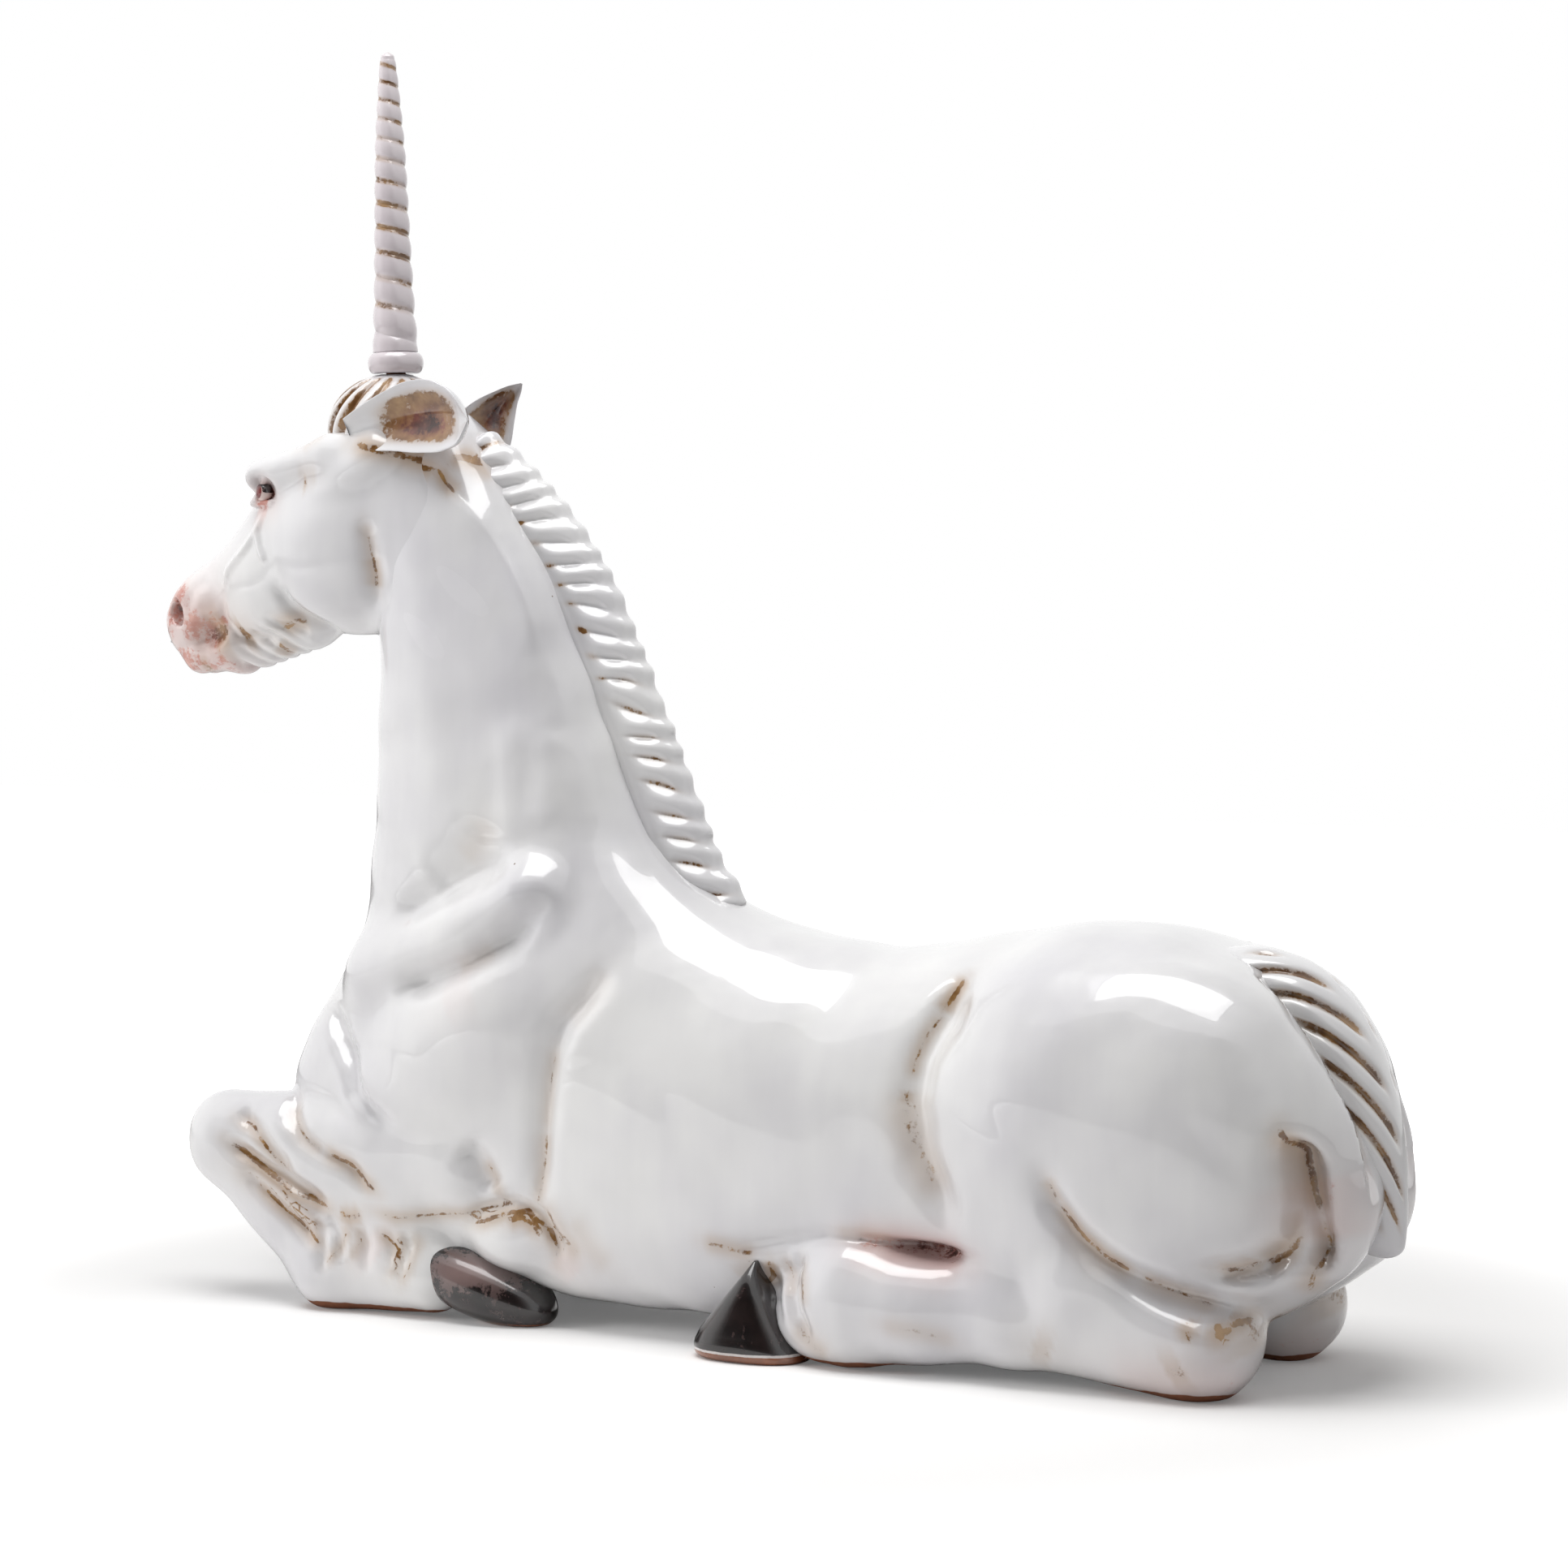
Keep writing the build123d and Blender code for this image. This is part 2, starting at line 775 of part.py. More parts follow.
with BuildPart() as beard:
    with BuildSketch(head_side):
        lock_step = beard_length / beard_locks
        with BuildLine():
            Polyline(
                (beard_front, beard_top - beard_depth / 2),
                (beard_front, beard_top),
                (beard_front - beard_length, beard_top),
                (beard_front - beard_length, beard_top - beard_depth),
            )
            for lock in range(beard_locks):
                rise = beard_depth / 2 / beard_locks
                start = (beard_front - lock * lock_step, beard_top - beard_depth / 2 - lock * rise)
                end = (start[0] - lock_step, start[1] - rise)
                middle = ((start[0] + end[0]) / 2, (start[1] + end[1]) / 2 - lock_bulge_share * lock_step)
                ThreePointArc(start, middle, end)
        make_face()
    extrude(amount=beard_width / 2, both=True)

with BuildPart() as head:
    add(head_form.part)
    add(beard.part)
    add(head_cavity.part, mode=Mode.SUBTRACT)
    add(neck_cavity.part, mode=Mode.SUBTRACT)
    add(eye.part, mode=Mode.SUBTRACT)
    add(mirror(eye.part, about=Plane.XZ), mode=Mode.SUBTRACT)

export_piece(head.part, "head")
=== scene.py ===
import bpy
import numpy as np
import openvdb
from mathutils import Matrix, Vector


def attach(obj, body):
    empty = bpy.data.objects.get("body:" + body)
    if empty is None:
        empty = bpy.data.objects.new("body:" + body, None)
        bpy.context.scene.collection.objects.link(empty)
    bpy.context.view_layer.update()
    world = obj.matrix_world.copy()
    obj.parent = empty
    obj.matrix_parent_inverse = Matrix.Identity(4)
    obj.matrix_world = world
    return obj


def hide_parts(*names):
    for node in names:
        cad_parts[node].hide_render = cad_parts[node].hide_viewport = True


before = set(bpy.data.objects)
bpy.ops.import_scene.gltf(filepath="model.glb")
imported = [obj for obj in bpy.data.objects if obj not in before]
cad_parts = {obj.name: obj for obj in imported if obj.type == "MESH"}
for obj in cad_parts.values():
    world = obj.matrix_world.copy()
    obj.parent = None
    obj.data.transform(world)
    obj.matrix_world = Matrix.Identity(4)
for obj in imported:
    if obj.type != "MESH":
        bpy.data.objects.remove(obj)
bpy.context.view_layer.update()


# Camera: a long lens a little above the floor, on the side of the animal's left shoulder and
# turned towards its rump, so that the nose comes to the left edge of the picture.
view_turn = np.radians(28.0)
view_rise = np.radians(2.9)
view_distance = 1.9
view_aim = np.array([0.054, -0.055, 0.274])
view_width = 0.746
view_back = np.array([
    np.sin(view_turn) * np.cos(view_rise),
    -np.cos(view_turn) * np.cos(view_rise),
    np.sin(view_rise),
])
camera_data = bpy.data.cameras.new("camera")
camera_data.sensor_width = 36.0
camera_data.lens = camera_data.sensor_width * view_distance / view_width
camera = bpy.data.objects.new("camera", camera_data)
camera.location = view_aim + view_distance * view_back
camera.rotation_euler = Vector(view_back).to_track_quat("Z", "Y").to_euler()
bpy.context.scene.collection.objects.link(camera)
bpy.context.scene.camera = camera
bpy.context.scene.view_settings.view_transform = "Standard"


# Studio: white paper under the figure and white all round it, one broad soft lamp overhead, a
# second one far to the left that is kept out of the reflections, and a black cloth hung behind
# the camera, so that the glaze shows crisp white reflections above and darker grey ones in front.
pure_white = (1.0, 1.0, 1.0, 1.0)
paper_colour = (0.88, 0.875, 0.87, 1.0)
paper_half = 4.0
paper_glow_start = 0.34
paper_glow_full = 0.74
paper_glow_near = 0.12


def stage_sheet(name, corners):
    """A flat sheet with four corners, for the studio."""
    mesh = bpy.data.meshes.new(name)
    mesh.from_pydata(corners, [], [(0, 1, 2, 3)])
    sheet = bpy.data.objects.new(name, mesh)
    bpy.context.scene.collection.objects.link(sheet)
    return sheet


def place_node(tree, kind, settings=None, values=None):
    """A node with its settings and the plain values of its sockets."""
    node = tree.nodes.new(kind)
    for label, setting in (settings or {}).items():
        setattr(node, label, setting)
    for label, value in (values or {}).items():
        node.inputs[label].default_value = value
    return node


def wire(tree, *wires):
    """Wires of a node tree. Each is a node, its output, the node that it goes to and that node's
    input. A socket goes by its name, or by its number where names repeat, as in a colour mix: 6 and
    7 in, 2 out."""
    for start, start_socket, end, end_socket in wires:
        tree.links.new(start.outputs[start_socket], end.inputs[end_socket])


def new_material(name):
    """An empty node material, given back with its node tree and its output node."""
    material = bpy.data.materials.new(name)
    material.use_nodes = True
    tree = material.node_tree
    tree.nodes.clear()
    return material, tree, place_node(tree, "ShaderNodeOutputMaterial")


paper = stage_sheet("paper", [
    (-paper_half, -paper_half, 0.0), (paper_half, -paper_half, 0.0),
    (paper_half, paper_half, 0.0), (-paper_half, paper_half, 0.0),
])
paper_white, paper_tree, paper_output = new_material("paper_white")
paper_diffuse = place_node(paper_tree, "ShaderNodeBsdfDiffuse", values={"Color": paper_colour})
paper_glow = place_node(paper_tree, "ShaderNodeEmission", values={"Color": pure_white})
paper_place = place_node(paper_tree, "ShaderNodeTexCoord")
paper_away = place_node(paper_tree, "ShaderNodeVectorMath", {"operation": "LENGTH"})
paper_fade = place_node(paper_tree, "ShaderNodeMapRange", {"interpolation_type": "SMOOTHSTEP"}, {
    "From Min": paper_glow_start, "From Max": paper_glow_full, "To Min": paper_glow_near, "To Max": 1.0})
paper_ray = place_node(paper_tree, "ShaderNodeLightPath")
paper_seen = place_node(paper_tree, "ShaderNodeMath", {"operation": "MULTIPLY"})
paper_sum = place_node(paper_tree, "ShaderNodeAddShader")
wire(
    paper_tree,
    (paper_place, "Object", paper_away, 0), (paper_away, "Value", paper_fade, "Value"),
    (paper_ray, "Is Camera Ray", paper_seen, 0), (paper_fade, "Result", paper_seen, 1),
    (paper_seen, "Value", paper_glow, "Strength"), (paper_diffuse, "BSDF", paper_sum, 0),
    (paper_glow, "Emission", paper_sum, 1), (paper_sum, "Shader", paper_output, "Surface"),
)
paper.data.materials.append(paper_white)

room_colour = (1.0, 0.99, 0.985, 1.0)
room_strength = 0.25
room = bpy.data.worlds.new("room")
bpy.context.scene.world = room
room.use_nodes = True
room_tree = room.node_tree
room_tree.nodes.clear()
room_output = place_node(room_tree, "ShaderNodeOutputWorld")
room_seen = place_node(room_tree, "ShaderNodeBackground", values={"Color": pure_white, "Strength": 1.0})
room_light = place_node(room_tree, "ShaderNodeBackground", values={
    "Color": room_colour, "Strength": room_strength})
room_ray = place_node(room_tree, "ShaderNodeLightPath")
room_either = place_node(room_tree, "ShaderNodeMath", {"operation": "MAXIMUM"})
room_glossy = place_node(room_tree, "ShaderNodeMath", {"operation": "MAXIMUM"})
room_mix = place_node(room_tree, "ShaderNodeMixShader")
wire(
    room_tree,
    (room_ray, "Is Camera Ray", room_either, 0), (room_ray, "Is Transmission Ray", room_either, 1),
    (room_either, "Value", room_glossy, 0), (room_ray, "Is Glossy Ray", room_glossy, 1),
    (room_glossy, "Value", room_mix, 0), (room_light, "Background", room_mix, 1),
    (room_seen, "Background", room_mix, 2), (room_mix, "Shader", room_output, "Surface"),
)

flag_colour = (0.05, 0.05, 0.05, 1.0)
flag_half = 4.2
flag_height = 2.7
flag_distance = 2.5
flag_whole_half = 1.2
flag = stage_sheet("flag", [
    (-flag_half, -flag_distance, 0.0), (flag_half, -flag_distance, 0.0),
    (flag_half, -flag_distance, flag_height), (-flag_half, -flag_distance, flag_height),
])
flag_black, flag_tree, flag_output = new_material("flag_black")
flag_cloth = place_node(flag_tree, "ShaderNodeBsdfDiffuse", values={"Color": flag_colour})
flag_clear = place_node(flag_tree, "ShaderNodeBsdfTransparent")
flag_ray = place_node(flag_tree, "ShaderNodeLightPath")
flag_place = place_node(flag_tree, "ShaderNodeTexCoord")
flag_parts = place_node(flag_tree, "ShaderNodeSeparateXYZ")
flag_side = place_node(flag_tree, "ShaderNodeMath", {"operation": "ABSOLUTE"})
flag_fade = place_node(flag_tree, "ShaderNodeMapRange", {"interpolation_type": "SMOOTHSTEP"}, {
    "From Min": flag_whole_half, "From Max": flag_half, "To Min": 0.0, "To Max": 1.0})
flag_gone = place_node(flag_tree, "ShaderNodeMath", {"operation": "MAXIMUM"})
flag_mix = place_node(flag_tree, "ShaderNodeMixShader")
wire(
    flag_tree,
    (flag_place, "Object", flag_parts, "Vector"), (flag_parts, "X", flag_side, 0),
    (flag_side, "Value", flag_fade, "Value"), (flag_ray, "Is Camera Ray", flag_gone, 0),
    (flag_fade, "Result", flag_gone, 1), (flag_gone, "Value", flag_mix, 0),
    (flag_cloth, "BSDF", flag_mix, 1), (flag_clear, "BSDF", flag_mix, 2),
    (flag_mix, "Shader", flag_output, "Surface"),
)
flag.data.materials.append(flag_black)


def softbox(name, place, aim, wide, long, power):
    """A rectangular lamp at a place, facing its aim."""
    lamp_data = bpy.data.lights.new(name, "AREA")
    lamp_data.shape = "RECTANGLE"
    lamp_data.size = wide
    lamp_data.size_y = long
    lamp_data.energy = power
    lamp = bpy.data.objects.new(name, lamp_data)
    lamp.location = place
    facing = Vector(place) - Vector(aim)
    lamp.rotation_euler = facing.to_track_quat("Z", "Y").to_euler()
    bpy.context.scene.collection.objects.link(lamp)
    return lamp


softbox("lamp_overhead", place=(0.04, -0.30, 1.9), aim=(0.05, 0.0, 0.1), wide=1.5, long=1.2, power=27.0)
side_lamp = softbox(
    "lamp_left", place=(-2.0, -1.5, 0.8), aim=(0.0, 0.0, 0.25), wide=1.2, long=1.2, power=30.0)
side_lamp.visible_glossy = False


# Body: torso, neck, haunches and legs are one hollow earthenware casting, pressed in a two-part
# mould and dipped in white tin glaze. The creases between the muscles hold ochre wiped into them,
# and the feet are wiped bare underneath, where the red clay shows as a thin rim.
millimetre = 0.001
body_step = 2.6


def smooth_between(at, knots, values):
    """A cubic curve through the table, its slope at a knot taken from the neighbours, level beyond
    the ends."""
    knots = np.asarray(knots, float)
    values = np.asarray(values, float)
    slopes = np.gradient(values, knots)
    at = np.clip(at, knots[0], knots[-1])
    left = np.clip(np.searchsorted(knots, at, side="right") - 1, 0, len(knots) - 2)
    gap = knots[left + 1] - knots[left]
    share = (at - knots[left]) / gap
    square = share * share
    cube = square * share
    start = (2.0 * cube - 3.0 * square + 1.0) * values[left]
    start = start + (cube - 2.0 * square + share) * gap * slopes[left]
    end = (3.0 * square - 2.0 * cube) * values[left + 1] + (cube - square) * gap * slopes[left + 1]
    return start + end


def rounded_union(first, second, width):
    """The lower of two fields, and where they differ by less than width a fillet: less width/4
    times closeness squared."""
    near = np.maximum(width - np.abs(first - second), 0.0) / width
    return np.minimum(first, second) - 0.25 * width * near * near


def rounded_cut(solid, tool, width):
    """The solid less the tool, with the edge rounded over by width."""
    return -rounded_union(-solid, tool, width)


def limb(x, y, z, start, end, start_girth, end_girth):
    """A tapering limb: distance from its bone, measured in girths across and in the upright plane,
    less one."""
    bone = np.subtract(end, start).astype(float)
    share = (x - start[0]) * bone[0] + (y - start[1]) * bone[1] + (z - start[2]) * bone[2]
    share = np.clip(share / (bone @ bone), 0.0, 1.0)
    across = start_girth[0] + (end_girth[0] - start_girth[0]) * share
    deep = start_girth[1] + (end_girth[1] - start_girth[1]) * share
    off_x = (x - start[0] - share * bone[0]) / deep
    off_y = (y - start[1] - share * bone[1]) / across
    off_z = (z - start[2] - share * bone[2]) / deep
    return (np.sqrt(off_x ** 2 + off_y ** 2 + off_z ** 2) - 1.0) * np.minimum(across, deep)


def mass(x, y, z, centre, girth, power=2.0):
    """A muscle: the three offsets in girths, each to a power, summed, rooted, less one. Power 2 is
    an egg."""
    total = np.abs((x - centre[0]) / girth[0]) ** power
    total = total + np.abs((y - centre[1]) / girth[1]) ** power
    total = total + np.abs((z - centre[2]) / girth[2]) ** power
    return (total ** (1.0 / power) - 1.0) * min(girth)


def along_line(x, z, line):
    """How far a point is from a line drawn on the side view, its place along that line from 0 to 1,
    and on which side of the line it lies, as 1 or -1."""
    line = np.asarray(line, float)
    steps = np.hypot(np.diff(line[:, 0]), np.diff(line[:, 1]))
    starts = np.concatenate([[0.0], np.cumsum(steps)])
    reach = np.full(np.broadcast(x, z).shape, 1e6)
    place = np.zeros_like(reach)
    hand = np.ones_like(reach)
    for index in range(len(steps)):
        run_x = line[index + 1, 0] - line[index, 0]
        run_z = line[index + 1, 1] - line[index, 1]
        share = ((x - line[index, 0]) * run_x + (z - line[index, 1]) * run_z) / steps[index] ** 2
        share = np.clip(share, 0.0, 1.0)
        gap = np.hypot(x - line[index, 0] - share * run_x, z - line[index, 1] - share * run_z)
        turned = (x - line[index, 0]) * run_z - (z - line[index, 1]) * run_x
        closer = gap < reach
        hand = np.where(closer, np.sign(turned), hand)
        reach = np.where(closer, gap, reach)
        place = np.where(closer, (starts[index] + share * steps[index]) / starts[-1], place)
    return reach, place, hand


def ease(value, low, high):
    """0 below low, 1 above high, and a soft S between."""
    share = np.clip((value - low) / (high - low), 0.0, 1.0)
    return share * share * (3.0 - 2.0 * share)


def tooled(x, y, z, lines):
    """Sum of the creases (positive) and beads (negative) drawn on the sides. Each is a bell across
    its line, fades at both ends, and starts beyond its own distance from the middle plane. A
    negative distance is where the crease ends instead."""
    faded_share = 0.22
    soft_start = 14.0
    soft_stop = 8.0
    total = 0.0
    for line, from_middle, depth, width in lines:
        reach, place, _ = along_line(x, z, line)
        ends = ease(place, 0.0, faded_share) * ease(1.0 - place, 0.0, faded_share)
        bell = np.exp(-0.5 * (reach / width) ** 2) * (0.05 + 0.95 * ends)
        if from_middle < 0:
            reached = ease(-from_middle - y, 0.0, soft_stop)
        else:
            reached = ease(y, from_middle - soft_start, from_middle)
        total = total + depth * bell * reached
    return total


trunk_along = [-246, -232, -205, -150, -80, 0, 85, 150, 200, 250, 288, 314, 330]
trunk_top = [120, 150, 176, 198, 209, 206, 193.5, 203, 210.5, 204, 185, 152, 112]
trunk_middle = [108, 106, 106, 110, 112, 108, 104, 106, 108, 108, 108, 108, 108]
trunk_floor = [98, 78, 52, 30, 13, 11, 11, 11, 13, 20, 36, 62, 96]
trunk_wide = [10, 30, 46, 58, 66, 70, 72, 72, 70, 64, 54, 38, 12]
neck_up = [140, 170, 200, 250, 300, 340, 384, 420, 446]
neck_middle = [-109, -111, -112, -125, -135.5, -143.5, -155, -170, -180]
neck_deep = [98, 103, 98, 80, 68.5, 60, 48, 38, 29]
neck_wide = [56, 58, 56, 50, 45, 42, 38, 33, 27]
# line on the side view, how far from the middle plane it starts, depth, width
body_lines = [
    ([(-176, 196), (-150, 211), (-122, 225), (-97, 232)], 34, 4.6, 6.0),
    ([(-170, 163), (-140, 172), (-118, 181), (-100, 193), (-86, 206), (-72, 220)], 38, 7.0, 5.6),
    ([(-222, 157), (-205, 141), (-195, 128), (-188, 113), (-177, 104), (-158, 96)], 26, 5.4, 3.8),
    ([(-37, 186), (-51, 169), (-64, 154), (-70, 137), (-73, 118), (-75, 98), (-77, 74),
      (-80, 58)], 44, 5.6, 5.0),
    ([(-122, 92), (-112, 80), (-104, 68)], 40, 4.4, 7.0),
    ([(-234, 112), (-228, 98), (-219, 88), (-205, 81), (-189, 75), (-176, 64)], 20, 4.6, 3.6),
    ([(152, 190), (147, 180), (141, 165), (133, 148), (130, 128), (136, 105), (146, 86),
      (158, 66)], 45, 6.5, 7.0),
    ([(200, 112), (206, 98), (211, 88), (221, 75), (231, 66), (247, 57), (262, 51), (284, 44),
      (302, 42)], 50, 7.0, 5.4),
    ([(314, 124), (318, 106), (318, 90), (312, 74), (300, 65), (284, 61), (264, 61)], 50, 5.5, 5.0),
    ([(312, 128), (315, 111), (318, 94), (321, 76), (318, 56)], 24, 8.5, 4.4),
    ([(-271, 85), (-231, 67), (-200, 52)], 46, 5.5, 3.6),
    ([(-259, 70), (-235, 54), (-220, 43), (-205, 31)], 48, 3.6, 2.8),
    ([(-266, 94), (-257, 95), (-245, 88), (-233, 78), (-224, 68)], 46, 3.8, 3.2),
    ([(-117, 254), (-121, 241), (-134, 229), (-151, 217)], 34, 3.2, 8.0),
    ([(-152, 417), (-138, 407), (-123, 392), (-112, 377), (-106, 364), (-100, 349),
      (-98, 330)], 20, -2.4, 5.0),
    ([(-106, 305), (-104, 281), (-103, 256), (-96, 239)], 30, -1.8, 6.0),
    ([(-88, 300), (-86, 273), (-85, 245)], 22, -1.8, 6.0),
    ([(-214, 50), (-206, 42), (-203, 30), (-206, 18)], 48, 2.4, 2.2),
    ([(-206, 50), (-196, 40), (-192, 26)], 48, 2.4, 2.2),
    ([(-184, 48), (-178, 36), (-180, 22)], 50, 1.8, 2.2),
    ([(-168, 46), (-163, 36), (-168, 20)], 50, 1.6, 2.0),
    ([(-158, 46), (-155, 36), (-160, 18)], 50, 1.4, 1.9),
    ([(20, 51), (48, 55), (84, 62), (114, 62), (142, 58), (158, 56)], 46, 2.4, 2.6),
    ([(283, 194), (295, 180), (305, 165), (317, 149), (325, 135), (334, 119), (341, 102),
      (343, 84)], -34, 6.0, 3.4),
    ([(-126, 50), (-112, 60), (-92, 65), (-76, 60), (-68, 46), (-68, 34)], 42, 3.4, 2.4),
    ([(52, 46), (60, 34), (66, 18)], 60, 1.8, 2.4),
    ([(60, 50), (69, 38), (75, 20)], 60, 1.8, 2.4),
    ([(75, 55), (71, 44), (76, 28), (84, 12)], 60, 2.6, 2.6),
]
# how it joins, what it is, its sizes, its fillet
body_shapes = {
    "breast": (rounded_union, mass, ((-122, 40, 134), (50, 31, 62), 2.2), 12.0),
    "front of the breast": (rounded_union, mass, ((-207, 22, 112), (38, 32, 40)), 16.0),
    "shoulder": (rounded_union, limb, ((-188, 32, 172), (-92, 44, 212), (22, 18), (22, 21)), 12.0),
    "upper arm": (rounded_union, limb, ((-108, 44, 152), (-176, 40, 104), (26, 32), (24, 27)), 18.0),
    "haunch": (rounded_union, mass, ((229, 42, 112), (96, 50, 88), 2.4), 14.0),
    "rump": (rounded_union, mass, ((302, 19, 93), (37.5, 29, 44), 2.3), 18.0),
    "hock": (rounded_union, limb, ((216, 58, 48), (266, 55, 28), (31, 31), (28, 28)), 7.0),
    "upper hind cannon": (rounded_union, limb, ((267, 54, 27), (180, 62, 30), (27, 28), (21, 22)), 10.0),
    "lower hind cannon": (rounded_union, limb, ((180, 62, 30), (130, 65, 30), (21, 22), (20, 23)), 8.0),
    "hind fetlock": (rounded_union, limb, ((130, 65, 30), (98, 66, 31), (20, 23), (22, 29)), 12.0),
    "hind pastern": (rounded_union, limb, ((98, 66, 30), (80, 66, 25), (20, 28), (18, 23)), 7.0),
    "slot over the cannon": (rounded_cut, mass, ((140, 82, 58.5), (20, 20, 4.4)), 5.0),
    "forearm": (rounded_union, limb, ((-128, 42, 80), (-276, 42, 83), (26, 30), (21, 24)), 4.0),
    "knee": (rounded_union, limb, ((-274, 42, 78), (-208, 46, 24), (20, 22), (21, 24)), 10.0),
    "fold behind the knee": (rounded_union, limb, ((-236, 42, 68), (-170, 44, 44), (20, 26), (20, 28)), 12.0),
    "shin": (rounded_union, limb, ((-208, 46, 24), (-150, 48, 22), (21, 24), (19, 20)), 10.0),
    "bulb over the fore hoof": (rounded_union, mass, ((-95, 50, 44), (27, 15, 15.5)), 5.0),
}
trunk_power_above = 2.2
trunk_power_below = 3.9
neck_power = 2.4
neck_fillet = 26.0
uneven_depth = 0.55
sole_height = 0.1
sole_edge = 1.2


def build_up(form, x, y, z, shapes):
    """Works a table of named masses and limbs into a form one after another. A row is how the shape
    joins, what it is, its sizes and the width of its fillet."""
    for joined, shape, sizes, width in shapes.values():
        form = joined(form, shape(x, y, z, *sizes), width)
    return form


def neck_stem(x, y, z):
    """The neck without ends. At each level, the offsets from its middle in depths and widths, each
    to a power, are summed, rooted, less one."""
    deep = smooth_between(z, neck_up, neck_deep)
    wide = smooth_between(z, neck_up, neck_wide)
    off_x = np.abs((x - smooth_between(z, neck_up, neck_middle)) / deep)
    stem = off_x ** neck_power + np.abs(y / wide) ** neck_power
    return (stem ** (1.0 / neck_power) - 1.0) * np.minimum(deep, wide)


def unevenness(x, y, z):
    """What the presser's hands leave: low waves along and up the body, each bent by the other."""
    along = np.sin(x / 12.0 + 1.3 * np.sin(z / 19.0))
    return uneven_depth * along * np.sin(z / 10.0 + 1.1 * np.sin(x / 23.0) + y / 16.0)


def body_form(x, y, z):
    """The whole body casting: barrel, neck, chest, shoulder, haunch and folded legs, run together
    with fillets, the creases pressed in, and the underside cut flat where it stands. The barrel is
    flatter below its middle."""
    y = np.abs(y)
    middle = smooth_between(x, trunk_along, trunk_middle)
    rise = z - middle
    above = smooth_between(x, trunk_along, trunk_top) - middle
    below = middle - smooth_between(x, trunk_along, trunk_floor)
    deep = np.where(rise > 0.0, above, below)
    wide = smooth_between(x, trunk_along, trunk_wide)
    power = np.where(rise > 0.0, trunk_power_above, trunk_power_below)
    barrel = (np.abs(y / wide) ** power + np.abs(rise / deep) ** power) ** (1.0 / power)
    form = (barrel - 1.0) * np.minimum(deep, wide)
    form = form + np.abs(x - np.clip(x, trunk_along[0], trunk_along[-1]))
    stem = neck_stem(x, y, z) + np.abs(z - np.clip(z, neck_up[0], neck_up[-1]))
    form = rounded_union(form, stem, neck_fillet)
    form = build_up(form, x, y, z, body_shapes)
    form = form + unevenness(x, y, z)
    form = form + tooled(x, y, z, body_lines)
    return rounded_cut(form, z - sole_height, sole_edge)


def skin(form, low, high, step):
    """Corners and quads of the surface where the form is zero. The form is sampled on a cubic grid
    over y >= 0 and mirrored, quads are laid where it changes sign, and each corner then slides down
    the slope until it lies on it."""
    count = np.ceil((np.asarray(high, float) - low) / step).astype(int) + 1
    grid_x = low[0] + step * np.arange(count[0])
    grid_y = step * np.arange(int(np.ceil(high[1] / step)) + 1)
    grid_z = low[2] + step * np.arange(count[2])
    half = form(grid_x[:, None, None], grid_y[None, :, None], grid_z[None, None, :])
    half = np.broadcast_to(half, (len(grid_x), len(grid_y), len(grid_z)))
    whole = np.concatenate([half[:, :0:-1], half], axis=1).astype(np.float32)
    volume = openvdb.FloatGrid(background=50.0)
    volume.copyFromArray(np.ascontiguousarray(whole))
    corners, quads = volume.convertToQuads(isovalue=0.0)
    corners = corners.astype(float) * step + (low[0], -grid_y[-1], low[2])
    nudge = 0.3
    least_slope = 0.05
    longest_slide = 0.6 * step
    for _ in range(2):
        value = form(*corners.T)
        slope = np.stack([
            form(*(corners + shift).T) - form(*(corners - shift).T) for shift in nudge * np.eye(3)
        ], axis=1) / (2.0 * nudge)
        move = slope * (value / np.maximum((slope ** 2).sum(axis=1), least_slope))[:, None]
        corners = corners - np.clip(move, -longest_slide, longest_slide)
    return corners, quads.astype(int)


def add_piece(name, corners, quads, paints, fans=()):
    """A smooth-shaded piece from corners in millimetres, quads and, at closed ends, triangles. Its
    faces are turned round if the volume inside the quads comes out negative. A paint is a number
    per corner, kept under its name."""
    middle = corners[quads].mean(axis=1)
    cross = np.cross(corners[quads[:, 2]] - corners[quads[:, 0]], corners[quads[:, 3]] - corners[quads[:, 1]])
    faces = np.asarray(quads).tolist() + np.asarray(fans, int).tolist()
    if (middle * cross).sum() < 0.0:
        faces = [face[::-1] for face in faces]
    mesh = bpy.data.meshes.new(name)
    mesh.from_pydata((corners * millimetre).tolist(), [], faces)
    mesh.polygons.foreach_set("use_smooth", np.ones(len(faces), bool))
    mesh.update()
    for paint, amounts in paints.items():
        layer = mesh.attributes.new(paint, "FLOAT", "POINT")
        layer.data.foreach_set("value", np.asarray(amounts, np.float32))
    piece = bpy.data.objects.new(name, mesh)
    bpy.context.scene.collection.objects.link(piece)
    return piece


def painted(paint, corners, strokes):
    """Two numbers per corner for one colour: how much of it the brush left, the strongest of wide
    bells across the strokes, and how far across the nearest stroke the corner lies, in half widths
    with a sign for the side, so that the material can draw a stroke finer than the mesh."""
    far_across = 9.0
    faded_share = 0.2
    soft_start = 8.0
    total = np.zeros(len(corners))
    offset = np.full(len(corners), far_across)
    for line, from_middle, amount, width in strokes:
        reach, place, hand = along_line(corners[:, 0], corners[:, 2], line)
        ends = 0.25 + 0.75 * ease(place, 0.0, faded_share) * ease(1.0 - place, 0.0, faded_share)
        spread = 1.5 * width + 1.6
        bell = amount * np.exp(-0.5 * (reach / spread) ** 2) * ends
        bell = bell * ease(np.abs(corners[:, 1]), from_middle - soft_start, from_middle)
        stronger = bell > total
        total = np.where(stronger, bell, total)
        offset = np.where(stronger, np.clip(hand * reach / width, -far_across, far_across), offset)
    return {paint: total, paint + "_across": offset}


